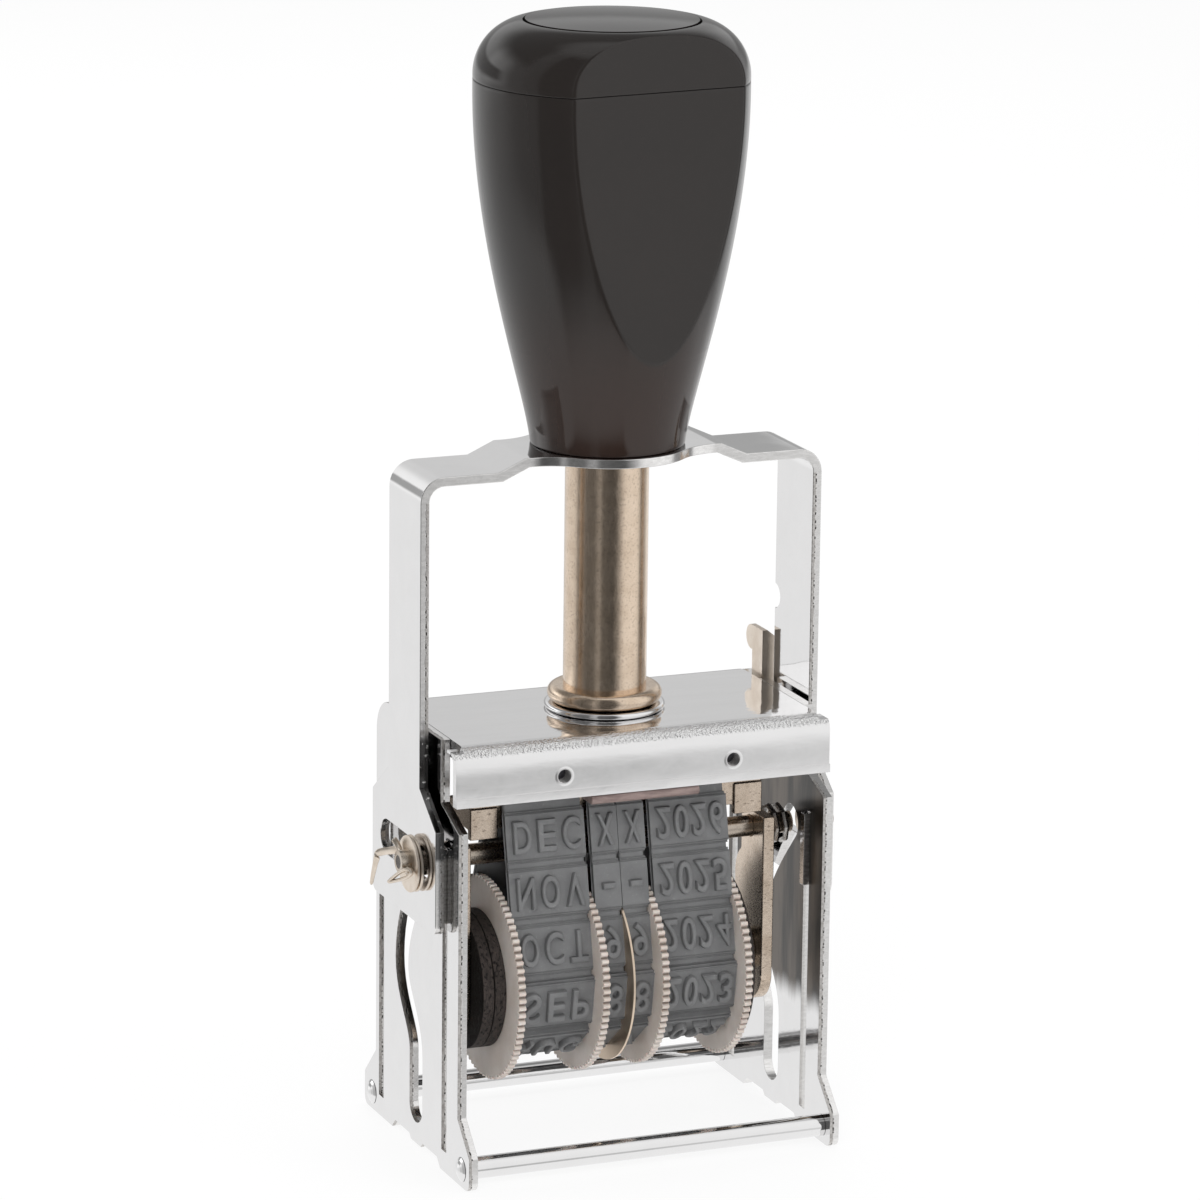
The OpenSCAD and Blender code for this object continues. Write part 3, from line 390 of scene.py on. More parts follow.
def torn_nickel():
    """Warm nickel whose sheared edges are rough, as on the cheeks."""
    m = nickel("nickel_torn", (0.74, 0.62, 0.51), (0.60, 0.49, 0.39))
    nt = m.node_tree
    b = nt.nodes["Principled BSDF"]
    where = between(nt, normal_part(nt, 0), 0.4, 0.2)
    grit = noise(nt, coords(nt, (0.6, 1.6, 1.6)), 1.9, 4.0, 0.65)
    torn = times(nt, where, between(nt, grit, 0.56, 0.68), 0.8)
    old = b.inputs["Base Color"].links[0].from_socket
    put(nt, b.inputs["Base Color"], blend(nt, old, (0.20, 0.15, 0.115, 1), torn))
    put(nt, b.inputs["Normal"], bump(nt, times(nt, grit, where), 0.4, 0.1))
    return m


TIP_FACE, CUP_R = -33.5, (1.05, 0.85)


def centred_steel():
    """Axle ends: turned steel with a centre hole in the tip, a sunken bump with painted shade in it."""
    m = nickel("nickel_axle", (0.62, 0.55, 0.47), (0.46, 0.40, 0.34))
    nt = m.node_tree
    b = nt.nodes["Principled BSDF"]
    reach = hypot(nt, minus(nt, place_part(nt, 1), AXLE_Y), minus(nt, place_part(nt, 2), AXLE_Z))
    tip = math_node(nt, "LESS_THAN", place_part(nt, 0), TIP_FACE)
    face = times(nt, between(nt, normal_part(nt, 0), 0.7, 0.9), tip)
    hole_and_shade = times(nt, between(nt, reach, *CUP_R), face)
    old = b.inputs["Base Color"].links[0].from_socket
    # Painted shade darkens the centre hole.
    put(nt, b.inputs["Base Color"], blend(nt, old, (0.06, 0.05, 0.042, 1), hole_and_shade))
    put(nt, b.inputs["Normal"], bump(nt, hole_and_shade, 0.8, -0.3, b.inputs["Normal"].links[0].from_socket))
    return m


BROWN_BELOW = (130.0, 108.0)


def handle_plastic():
    """Black gloss, brown towards the foot of the body except on its flat, and duller on top."""
    m, nt, b = material("handle_plastic", (0.013, 0.0115, 0.011), 0.0, 0.07, IOR=1.43)
    cloud = noise(nt, coords(nt), 0.05, 3.0)
    dust = noise(nt, coords(nt), 1.1, 4.0, 0.7)
    black = blend(nt, (0.012, 0.0105, 0.0098, 1), (0.016, 0.0130, 0.0117, 1), cloud)
    x, y, z = (place_part(nt, i) for i in range(3))
    out = minus(nt, times(nt, x, math.sin(FACET_TURN)), times(nt, y, math.cos(FACET_TURN)))
    body = times(nt, between(nt, out, FACET_IN - 0.02, FACET_IN - 0.2), between(nt, z, *BROWN_BELOW))
    put(nt, b.inputs["Base Color"], blend(nt, black, (0.0200, 0.0122, 0.0097, 1), body))
    put(nt, b.inputs["Roughness"], between(nt, dust, 0.35, 0.8, 0.05, 0.11))
    put(nt, b.inputs["Normal"], bump(nt, cloud, 0.08, 0.6))
    put(nt, b.inputs["Specular IOR Level"], between(nt, normal_part(nt, 2), 0.9, 0.99, 0.5, 0.34))
    return m


def rubber():
    """Grey rubber, cloudy and a little dusty."""
    m, nt, b = material("band_rubber", (0.15, 0.151, 0.153), 0.0, 0.55, Specular_IOR_Level=0.4)
    cloud = noise(nt, coords(nt), 0.3, 5.0, 0.6)
    fine = noise(nt, coords(nt), 6.0, 4.0, 0.65)
    dust = between(nt, noise(nt, coords(nt), 2.2, 5.0, 0.7), 0.56, 0.72)
    tone = blend(nt, (0.101, 0.102, 0.1035, 1), (0.132, 0.133, 0.1345, 1), between(nt, cloud, 0.3, 0.7))
    tone = blend(nt, tone, grey(0.27), times(nt, dust, 0.25))
    put(nt, b.inputs["Base Color"], tone)
    put(nt, b.inputs["Roughness"], between(nt, cloud, 0.3, 0.7, 0.46, 0.62))
    put(nt, b.inputs["Normal"], bump(nt, fine, 0.16, 0.05))
    return m


WHEEL_R, SHAFT_DROP = 14.85, 18.5
# Radii over which the painted shade between the teeth fades in, below the tips and above the roots
UNDER_TIPS, OVER_ROOTS = (WHEEL_R - 0.12, WHEEL_R - 0.5), (WHEEL_R - 0.9, WHEEL_R - 0.7)


def nylon():
    """Ivory nylon, with painted shade between the teeth."""
    glow = {"Subsurface_Weight": 0.06, "Subsurface_Scale": 0.0008}
    m, nt, b = material("wheel_nylon", (0.60, 0.53, 0.48), 0.0, 0.42, **glow)
    cloud = noise(nt, coords(nt), 0.16, 4.0)
    fine = noise(nt, coords(nt), 3.5, 4.0, 0.6)
    tone = blend(nt, (0.43, 0.375, 0.335, 1), (0.515, 0.47, 0.435, 1), between(nt, cloud, 0.3, 0.7))
    shaft_z = AXLE_Z - SHAFT_DROP
    reach = hypot(nt, minus(nt, place_part(nt, 1), AXLE_Y), minus(nt, place_part(nt, 2), shaft_z))
    # Painted shade in the gaps between the teeth, on faces not turned to the side.
    depth = times(nt, between(nt, reach, *UNDER_TIPS), between(nt, reach, *OVER_ROOTS))
    tooth_gap_shade = times(nt, depth, between(nt, normal_part(nt, 0), 0.5, 0.25), 0.85)
    tone = blend(nt, tone, (0.13, 0.098, 0.078, 1), tooth_gap_shade)
    put(nt, b.inputs["Base Color"], tone)
    put(nt, b.inputs["Roughness"], between(nt, fine, 0.3, 0.7, 0.36, 0.5))
    put(nt, b.inputs["Normal"], bump(nt, fine, 0.08, 0.05))
    return m


def fibre():
    """Dark fibre with pitted, browner rims."""
    m, nt, b = material("fibre", (0.03, 0.026, 0.024), 0.0, 0.8, Specular_IOR_Level=0.3)
    hair = noise(nt, coords(nt, (3, 0.7, 0.7)), 1.2, 6.0, 0.7, 1.2)
    pits = between(nt, noise(nt, coords(nt, (1.4, 1, 1)), 1.7, 4.0, 0.65), 0.52, 0.62)
    face = blend(nt, (0.004, 0.0032, 0.0028, 1), (0.015, 0.012, 0.0105, 1), between(nt, hair, 0.35, 0.75))
    rim = blend(nt, (0.013, 0.0105, 0.0095, 1), (0.052, 0.042, 0.038, 1), between(nt, hair, 0.3, 0.7))
    tone = blend(nt, rim, face, between(nt, normal_part(nt, 0), 0.4, 0.7))
    put(nt, b.inputs["Base Color"], blend(nt, tone, (0.006, 0.0052, 0.005, 1), pits))
    put(nt, b.inputs["Roughness"], between(nt, hair, 0.3, 0.7, 0.6, 0.9))
    put(nt, b.inputs["Normal"], bump(nt, pits, 0.4, -0.12, bump(nt, hair, 0.45, 0.12)))
    return m


def brass():
    """Thin pale brass."""
    m, nt, b = material("brass", (0.80, 0.66, 0.48), 1.0, 0.35)
    fine = noise(nt, coords(nt), 1.8, 5.0, 0.6)
    put(nt, b.inputs["Base Color"], blend(nt, (0.70, 0.55, 0.41, 1), (0.87, 0.74, 0.60, 1), fine))
    put(nt, b.inputs["Roughness"], between(nt, fine, 0.3, 0.7, 0.28, 0.44))
    put(nt, b.inputs["Normal"], bump(nt, fine, 0.1, 0.05))
    return m


def tray_plastic():
    """Rosy brown plastic with a drawn grain."""
    m, nt, b = material("tray_plastic", (0.24, 0.19, 0.175), 0.0, 0.34)
    grain = noise(nt, coords(nt, (0.3, 1.5, 1.5)), 0.9, 5.0, 0.65, 0.5)
    tone = blend(nt, (0.105, 0.072, 0.066, 1), (0.22, 0.165, 0.152, 1), between(nt, grain, 0.3, 0.7))
    put(nt, b.inputs["Base Color"], tone)
    put(nt, b.inputs["Roughness"], between(nt, grain, 0.3, 0.7, 0.26, 0.42))
    put(nt, b.inputs["Normal"], bump(nt, grain, 0.12, 0.06))
    return m


def felt():
    """Felt soaked with dark ink."""
    m, nt, b = material("felt", (0.02, 0.018, 0.024), 0.0, 0.95, Sheen_Weight=0.25, Sheen_Roughness=0.6)
    hair = noise(nt, coords(nt), 2.6, 6.0, 0.75, 1.5)
    wet = noise(nt, coords(nt), 0.2, 3.0)
    put(nt, b.inputs["Base Color"], blend(nt, (0.012, 0.011, 0.016, 1), (0.04, 0.036, 0.045, 1), hair))
    put(nt, b.inputs["Roughness"], between(nt, wet, 0.3, 0.7, 0.7, 0.98))
    put(nt, b.inputs["Normal"], bump(nt, hair, 0.7, 0.2))
    return m


def spring_steel():
    return nickel("spring_steel", (0.52, 0.50, 0.48), (0.36, 0.34, 0.32), rough=(0.22, 0.36), speckle=0.05)


# World, floor and lamps

# How bright the surroundings are in the metal: azimuth from the front (degrees, + to the right), brightness
AROUND = [
    (-180, 0.80), (-158, 0.88), (-128, 0.80), (-100, 0.50), (-88, 0.44), (-82, 0.16), (-60, 0.14),
    (-52, 0.15), (-46, 0.30), (-38, 0.34), (-32, 0.12), (4, 0.08), (12, 0.26), (20, 0.47), (25, 0.78),
    (33, 0.90), (60, 0.96), (76, 0.90), (86, 0.25), (104, 0.25), (122, 0.90), (140, 1.0), (152, 0.66),
    (160, 0.66), (180, 0.80),
]

# The same for what lies higher
HIGHER = [
    (-180, 0.82), (-160, 1.0), (-146, 1.6), (-132, 1.5), (-112, 0.60), (-88, 0.42), (-82, 0.16),
    (-60, 0.14), (-52, 0.16), (-46, 0.40), (-38, 0.45), (-33, 0.12), (0, 0.10), (8, 0.50), (14, 0.92),
    (33, 0.97), (60, 0.97), (76, 0.90), (86, 0.30), (104, 0.30), (122, 0.80), (140, 0.90), (152, 0.66),
    (160, 0.66), (180, 0.80),
]

# Where the bright table begins: azimuth, height of the downward look
TABLE = [
    (-180, 0.31), (-110, 0.34), (-88, 0.42), (-72, 0.55), (2, 0.57), (12, 0.42), (22, 0.35), (180, 0.33),
]

# Brightness of other parts of the surroundings in the metal
REAR_WALL, OVERHEAD, FAR_EDGE, TABLE_TOP = 0.24, 0.80, 0.40, 0.96

# Light on matt surfaces, and how much of the floor is plain white to the camera
PLAIN_LIGHT = 0.62
FLOOR_WHITE = 0.88
FLOOR_HALF = 30.0


def make_world():
    w = bpy.data.worlds.new("studio")
    scene.world = w
    w.use_nodes = True
    nt = w.node_tree
    nt.nodes.clear()
    x, y, z = add(nt, "SeparateXYZ", None, {0: add(nt, "TexCoord").outputs["Generated"]}).outputs
    angle = math_node(nt, "ARCTAN2", x, times(nt, y, -1.0))
    turn = math_node(nt, "ADD", math_node(nt, "DIVIDE", angle, 2 * math.pi), 0.5)
    low, high = (ramp(nt, turn, stops, "EASE") for stops in (AROUND, HIGHER))
    metal = blend(nt, low, high, between(nt, z, -0.2, 0.0))
    behind = times(nt, between(nt, y, 0.1, 0.28), between(nt, z, 0.34, 0.62))
    metal = blend(nt, metal, grey(REAR_WALL), behind)
    metal = blend(nt, metal, grey(OVERHEAD), between(nt, z, 0.86, 0.97))
    far = times(nt, between(nt, y, 0.5, 0.7), between(nt, z, 0.22, 0.15), between(nt, z, -0.1, 0.0))
    metal = blend(nt, metal, grey(FAR_EDGE), far)
    down = math_node(nt, "ADD", z, ramp(nt, turn, TABLE))
    metal = blend(nt, metal, grey(TABLE_TOP), between(nt, down, 0.05, -0.08))
    path = add(nt, "LightPath")
    plain = add(nt, "Background", None, {"Color": grey(1), "Strength": PLAIN_LIGHT})
    shiny = add(nt, "Background", None, {"Color": metal, "Strength": 1.0})
    white = add(nt, "Background", None, {"Color": grey(1), "Strength": 1.0})
    lit = {0: path.outputs["Is Glossy Ray"], 1: plain.outputs[0], 2: shiny.outputs[0]}
    first = add(nt, "MixShader", None, lit)
    clear = math_node(nt, "MAXIMUM", path.outputs["Is Camera Ray"], path.outputs["Is Transmission Ray"])
    last = add(nt, "MixShader", None, {0: clear, 1: first.outputs[0], 2: white.outputs[0]})
    out = nt.nodes.new("ShaderNodeOutputWorld")
    nt.links.new(last.outputs[0], out.inputs[0])


def make_floor():
    signs = [(-1, -1), (1, -1), (1, 1), (-1, 1)]
    mesh = bpy.data.meshes.new("floor")
    mesh.from_pydata([(a * FLOOR_HALF, b * FLOOR_HALF, 0) for a, b in signs], [], [(0, 1, 2, 3)])
    floor = bpy.data.objects.new("floor", mesh)
    scene.collection.objects.link(floor)
    m = bpy.data.materials.new("floor")
    m.use_nodes = True
    nt = m.node_tree
    nt.nodes.clear()
    paper = noise(nt, coords(nt), 0.02, 2.0)
    tone = blend(nt, grey(0.93), grey(0.95), paper)
    soft = add(nt, "BsdfDiffuse", None, {"Color": tone})
    glow = add(nt, "Emission", None, {"Color": grey(1), "Strength": 1.0})
    share = times(nt, add(nt, "LightPath").outputs["Is Camera Ray"], FLOOR_WHITE)
    mixed = add(nt, "MixShader", None, {0: share, 1: soft.outputs[0], 2: glow.outputs[0]})
    out = nt.nodes.new("ShaderNodeOutputMaterial")
    nt.links.new(mixed.outputs[0], out.inputs[0])
    mesh.materials.append(m)
    floor.visible_glossy = False


def lamp(name, place, target, size, watts):
    data = bpy.data.lights.new(name, "AREA")
    data.shape = "DISK"
    data.size = size
    data.energy = watts
    o = bpy.data.objects.new(name, data)
    o.location = place
    o.rotation_euler = (Vector(target) - Vector(place)).to_track_quat("-Z", "Y").to_euler()
    o.visible_glossy = False
    scene.collection.objects.link(o)


def make_lamps():
    middle = (0, 0, 0.06)
    lamp("key", (-0.55, -0.75, 0.85), middle, size=0.5, watts=3.4)
    lamp("fill", (0.8, -0.7, 0.45), middle, size=0.7, watts=2.2)
    lamp("top", (0.1, 0.15, 1.1), middle, size=0.6, watts=3.0)
    lamp("back", (0.2, 0.9, 0.6), middle, size=0.7, watts=2.0)
    lamp("low", (-0.25, -0.95, 0.05), (0, -0.01, 0.03), size=0.5, watts=7.2)


# Pieces

def new_piece(bm, name, mat, sharp=None):
    """Makes a smooth object from a bmesh; edges over sharp degrees stay sharp."""
    bmesh.ops.recalc_face_normals(bm, faces=bm.faces)
    mesh = bpy.data.meshes.new(name)
    bm.to_mesh(mesh)
    bm.free()
    mesh.shade_smooth()
    if sharp is not None:
        mesh.set_sharp_from_angle(angle=math.radians(sharp))
    mesh.materials.append(mat)
    o = bpy.data.objects.new(name, mesh)
    scene.collection.objects.link(o)
    return o


def arc_points(middle, r, a0, a1, n):
    """Points of an arc from a0 to a1 degrees."""
    steps = [math.radians(a0 + (a1 - a0) * i / n) for i in range(n + 1)]
    return [(middle[0] + r * math.cos(a), middle[1] + r * math.sin(a)) for a in steps]


def skin(bm, rings, closed=False):
    """Joins rings of points, one to the next, and the last to the first where it is closed."""
    n = len(rings[0])
    for one, two in zip(rings, rings[1:] + rings[:1] if closed else rings[1:]):
        for i in range(n):
            bm.faces.new((one[i], one[(i + 1) % n], two[(i + 1) % n], two[i]))


# Date bands. The numbers repeat the date block of the source, in millimetres, with the axle as origin.

PLATEN_FRONT, PLATEN_BACK, PLATEN_ROUND = 3.6, -0.4, 0.5
BAND_T, TYPE_H, TYPE_LEN = 1.05, 1.4, 6.4
TYPE_REACH = 11.3
TYPE_PITCH, TYPE_SHIFT, TYPES = 8.1, 0.7, 12
DRUM_IN = 9.6
PLATEN_TOP = TYPE_REACH - TYPE_H - BAND_T
CORNER_Z = PLATEN_TOP - PLATEN_ROUND
FLAT = (PLATEN_FRONT + PLATEN_BACK) / 2
PAD_H, PAD_EDGE = 0.5, 0.16
STEP_LEN, STEP_H, STEP_IN, STEP_EDGE = 7.2, 0.2, 0.02, 0.1
BLOCK_ROOT = -0.6
WEB_ROUND, WEB_CHAMFER, WEB_STEPS = 0.28, 0.12, 420
LETTER_H, LETTER_SHARE = 4.7, 0.73
LETTER_DEPTH, LETTER_EDGE, LETTER_SLIM = 0.45, 0.25, -0.1
LETTER_FACE = LETTER_DEPTH + LETTER_EDGE


def strand_angle(a):
    """Outward angle of the free strand between the platen's corner at a and the drum."""
    far = CORNER_Z + SHAFT_DROP
    return math.atan2(far, a) - math.acos((DRUM_IN - PLATEN_ROUND) / math.hypot(a, far))


def strand_length(a):
    """Length of that strand."""
    return math.sqrt(a * a + (CORNER_Z + SHAFT_DROP) ** 2 - (DRUM_IN - PLATEN_ROUND) ** 2)


def side_path(s, a):
    """Point (y, z) and outward angle on the band's outer face, s along it, drawn to the +Y side."""
    b = strand_angle(a)
    edge = PLATEN_ROUND + BAND_T
    corner = edge * (math.pi / 2 - b)
    strand = strand_length(a)
    u = s - FLAT
    v = u - corner
    w = v - strand
    if u < 0:
        return (a + u, PLATEN_TOP + BAND_T), math.pi / 2
    if v < 0:
        t = math.pi / 2 - u / edge
        return (a + edge * math.cos(t), CORNER_Z + edge * math.sin(t)), t
    if w < 0:
        c, q = math.cos(b), math.sin(b)
        return (a + edge * c + v * q, CORNER_Z + edge * q - v * c), b
    t = b - w / (DRUM_IN + BAND_T)
    return ((DRUM_IN + BAND_T) * math.cos(t), -SHAFT_DROP + (DRUM_IN + BAND_T) * math.sin(t)), t


def band_path(s):
    """The same for the whole band: positive s runs down the front, negative down the back."""
    if s < 0:
        return side_path(-s, PLATEN_BACK)
    (y, z), t = side_path(s, PLATEN_FRONT)
    return (-y, z), math.pi - t


def band_length():
    """Length of the whole band along its outer face."""
    edge = PLATEN_ROUND + BAND_T
    sides = (PLATEN_FRONT, PLATEN_BACK)
    straight = 2 * FLAT + sum(strand_length(a) + edge * (math.pi / 2 - strand_angle(a)) for a in sides)
    return straight + (DRUM_IN + BAND_T) * (math.pi + sum(strand_angle(a) for a in sides))


def in_row(x, y, z):
    """Place in metres of a point in millimetres whose y and z count from the axle."""
    return Vector((x, AXLE_Y + y, AXLE_Z + z)) * MM


def band_loop(bm, x0, w):
    """The band's own web: a closed ring with rounded edges."""
    total = band_length()
    section = [(WEB_CHAMFER, 0.0), (0.0, WEB_CHAMFER)]
    section += arc_points((WEB_ROUND, BAND_T - WEB_ROUND), WEB_ROUND, 180, 90, 6)
    section += [(w - x, d) for x, d in reversed(section)]
    rings = []
    for k in range(WEB_STEPS):
        (y, z), t = band_path((k / WEB_STEPS - 0.5) * total)
        c, q = math.cos(t), math.sin(t)
        spots = [(x0 + x, y + (d - BAND_T) * c, z + (d - BAND_T) * q) for x, d in section]
        rings.append([bm.verts.new(in_row(*spot)) for spot in spots])
    skin(bm, rings, closed=True)


def slab(bm, x0, w, row, length, low, high, edge):
    """A rounded block that stands on the band, flat on a row's own plane."""
    (y, z), t = row
    turn = Matrix(((1, 0, 0), (0, math.cos(t), -math.sin(t)), (0, math.sin(t), math.cos(t))))
    made = bmesh.ops.create_cube(bm, size=1.0)["verts"]
    for v in made:
        p = turn @ Vector((0, low + (v.co.y + 0.5) * (high - low), v.co.z * length))
        v.co = in_row(x0 + (v.co.x + 0.5) * w, y + p.y, z + p.z)
    edges = list({e for v in made for e in v.link_edges})
    bmesh.ops.bevel(bm, geom=edges, offset=edge * MM, segments=2, profile=0.5, affect="EDGES")


letters_made = {}


def letter(ch):
    """Points, faces and width of one raised character, in millimetres, centred, its face at LETTER_FACE."""
    if ch not in letters_made:
        data = bpy.data.curves.new("letter", "FONT")
        data.body = ch
        data.size = LETTER_H / LETTER_SHARE
        data.extrude = LETTER_DEPTH
        data.bevel_depth = LETTER_EDGE
        data.bevel_resolution = 1
        data.offset = LETTER_SLIM
        data.resolution_u = 5
        o = bpy.data.objects.new("letter", data)
        scene.collection.objects.link(o)
        bpy.context.view_layer.update()
        made = bpy.data.meshes.new_from_object(o.evaluated_get(bpy.context.evaluated_depsgraph_get()))
        pts = [v.co.copy() for v in made.vertices]
        faces = [tuple(f.vertices) for f in made.polygons]
        bpy.data.objects.remove(o)
        bpy.data.curves.remove(data)
        bpy.data.meshes.remove(made)
        mid = [(min(p[i] for p in pts) + max(p[i] for p in pts)) / 2 for i in (0, 1)]
        wide = max(p.x for p in pts) - min(p.x for p in pts)
        letters_made[ch] = [(p.x - mid[0], p.y - mid[1], p.z) for p in pts], faces, wide
    return letters_made[ch]


def raise_letter(bm, ch, x, row, width):
    """Stands a character on a row; its head points down the front, as on a printing type."""
    (y, z), t = row
    pts, faces, wide = letter(ch)
    squeeze = min(1.0, width / wide)
    c, q = math.cos(t), math.sin(t)
    verts = []
    for px, py, pz in pts:
        d = TYPE_H - LETTER_FACE + pz
        verts.append(bm.verts.new(in_row(x + px * squeeze, y + d * c - py * q, z + d * q + py * c)))
    for f in faces:
        bm.faces.new([verts[i] for i in f])


MONTHS = ["JUN", "MAY", "APR", "MAR", "FEB", "JAN", "DEC", "NOV", "OCT", "SEP", "AUG", "JUL"]
DAYS = ["5", "4", "3", "2", "1", "0", "X", "-", "9", "8", "7", "6"]
YEARS = ["2020", "2031", "2030", "2029", "2028", "2027", "2026", "2025", "2024", "2023", "2022", "2021"]


def make_band(node, rows, pitch, width):
    """A band with its type: a word for each block, and the pitch and most width of its characters."""
    lo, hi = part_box(node)
    x0, w = lo.x / MM, (hi.x - lo.x) / MM
    bm = bmesh.new()
    band_loop(bm, x0, w)
    for i in range(TYPES):
        row = band_path((i - TYPES / 2 + 1) * TYPE_PITCH + TYPE_SHIFT)
        slab(bm, x0 + STEP_IN, w - 2 * STEP_IN, row, STEP_LEN, BLOCK_ROOT, STEP_H, STEP_EDGE)
        slab(bm, x0, w, row, TYPE_LEN, BLOCK_ROOT, PAD_H, PAD_EDGE)
        word = rows[i]
        for k, ch in enumerate(word):
            raise_letter(bm, ch, x0 + w / 2 + (k - (len(word) - 1) / 2) * pitch, row, width)
    o = new_piece(bm, node + "_type", RUBBER, sharp=32)
    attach(o, "date_block")
    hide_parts(node)


# Ink pad

FELT_CROWN, FELT_SINK, FELT_TUFT = 0.16, 1.6, 0.05
FELT_CELLS, TUFT_TURN = (60, 34), (5.1, 4.3)
# How fast the felt swells from its edges, and how much faster from the left and right ones
FELT_ROLL, FELT_SIDES = 9, 1.7


def make_pad():
    """Felt that swells downwards from its edges, with a fine tufted face."""
    lo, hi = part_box("ink_pad")
    nx, ny = FELT_CELLS
    bm = bmesh.new()
    sheets = []
    for top in (False, True):
        sheet = []
        for i in range(nx + 1):
            column = []
            for j in range(ny + 1):
                u, v = i / nx, j / ny
                x, y = lo.x + (hi.x - lo.x) * u, lo.y + (hi.y - lo.y) * v
                edge = min(u, 1 - u) * nx / ny * FELT_SIDES, min(v, 1 - v)
                swell = 1 - max(0.0, 1 - FELT_ROLL * min(edge)) ** 2
                tuft = FELT_TUFT * MM * math.sin(TUFT_TURN[0] * i) * math.sin(TUFT_TURN[1] * j)
                z = hi.z if top else lo.z + FELT_CROWN * MM * (FELT_SINK - swell) + tuft * swell
                column.append(bm.verts.new((x, y, z)))
            sheet.append(column)
        sheets.append(sheet)
    for sheet in sheets:
        for i in range(nx):
            for j in range(ny):
                bm.faces.new((sheet[i][j], sheet[i + 1][j], sheet[i + 1][j + 1], sheet[i][j + 1]))
    low, high = sheets
    rim = [(i, 0) for i in range(nx)] + [(nx, j) for j in range(ny)]
    rim += [(i, ny) for i in range(nx, 0, -1)] + [(0, j) for j in range(ny, 0, -1)]
    for (a, b), (c, d) in zip(rim, rim[1:] + rim[:1]):
        bm.faces.new((low[a][b], low[c][d], high[c][d], high[a][b]))
    o = new_piece(bm, "ink_felt", FELT, sharp=40)
    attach(o, "frame")
    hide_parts("ink_pad")


# Handle: turned shapes with the flat on their front. The numbers repeat the source's, in millimetres.

PAD_TOP, SEAM_Z, CAP_TOP = 102.6, 154.9, 163.3
FOOT_R, GRIP_R, BORE_R, BORE_TOP = 11.1, 19.6, 6.92, 150.4
FOOT_LEAN, FOOT_PULL, GRIP_LEAN, GRIP_PULL = 0.55, 0.135, 0.35, 0.556
FOOT_ROUND, FOOT_IN = 0.4, 0.37
CAP_ROUND, CAP_ARC, POCKET_R, POCKET_T = 7.8, 82, 12.6, 1.6
RIM_ROUND, RIM_DROP = 0.15, 0.21
BEND, SEAM_GAP = 0.14, 0.05
NEAR_AXIS = 0.02
FACET_ROUND, CORNER_STEPS = 0.4, 5


def bezier(a, b, c, d, t):
    u = 1 - t
    shares = u ** 3, 3 * u * u * t, 3 * u * t * t, t ** 3
    return tuple(sum(share * p[i] for share, p in zip(shares, (a, b, c, d))) for i in (0, 1))


def flat_corner(r, flat):
    """Points from the flat to the round of a section, over the small round between them: (across, out)."""
    far = math.sqrt(r * r - flat * flat)
    cut = min(FACET_ROUND, 0.35 * far)
    t = math.atan2(far, flat) + cut / r
    a, c, b = (far - cut, flat), (far, flat), (r * math.sin(t), r * math.cos(t))
    out = []
    for k in range(CORNER_STEPS + 1):
        q = k / CORNER_STEPS
        out.append(tuple((1 - q) ** 2 * a[i] + 2 * q * (1 - q) * c[i] + q * q * b[i] for i in (0, 1)))
    return out, t


def turned(name, node, profile):
    """A turned solid with a flat. The profile's points are (r, z, distance of the flat or None)."""
    around, across, least, touch = 144, 24, math.radians(0.8), 0.002
    special = 2 * CORNER_STEPS + across
    bm = bmesh.new()
    rings = []
    for r, z, flat in profile:
        if flat is not None and r > flat + touch:
            corner, t = flat_corner(r, flat)
            spots = [(-u, v) for u, v in reversed(corner[1:])]
            wide = corner[0][0]
            spots += [(wide * (2 * k / across - 1), flat) for k in range(across)]
            spots += corner[:-1]
        else:
            t = least
            turns = [t * (2 * k / special - 1) for k in range(special)]
            spots = [(r * math.sin(q), r * math.cos(q)) for q in turns]
        turns = [t + 2 * (math.pi - t) * k / around for k in range(around)]
        spots += [(r * math.sin(q), r * math.cos(q)) for q in turns]
        c, q = math.cos(FACET_TURN), math.sin(FACET_TURN)
        rings.append([bm.verts.new(Vector((u * c + v * q, u * q - v * c, z)) * MM) for u, v in spots])
    skin(bm, rings)
    bm.faces.new(list(reversed(rings[0])))
    bm.faces.new(rings[-1])
    o = new_piece(bm, name, BLACK)
    split = o.modifiers.new("split", "EDGE_SPLIT")
    split.split_angle = math.radians(40)
    even = o.modifiers.new("even", "WEIGHTED_NORMAL")
    even.keep_sharp = True
    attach(o, "press")
    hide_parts(node)


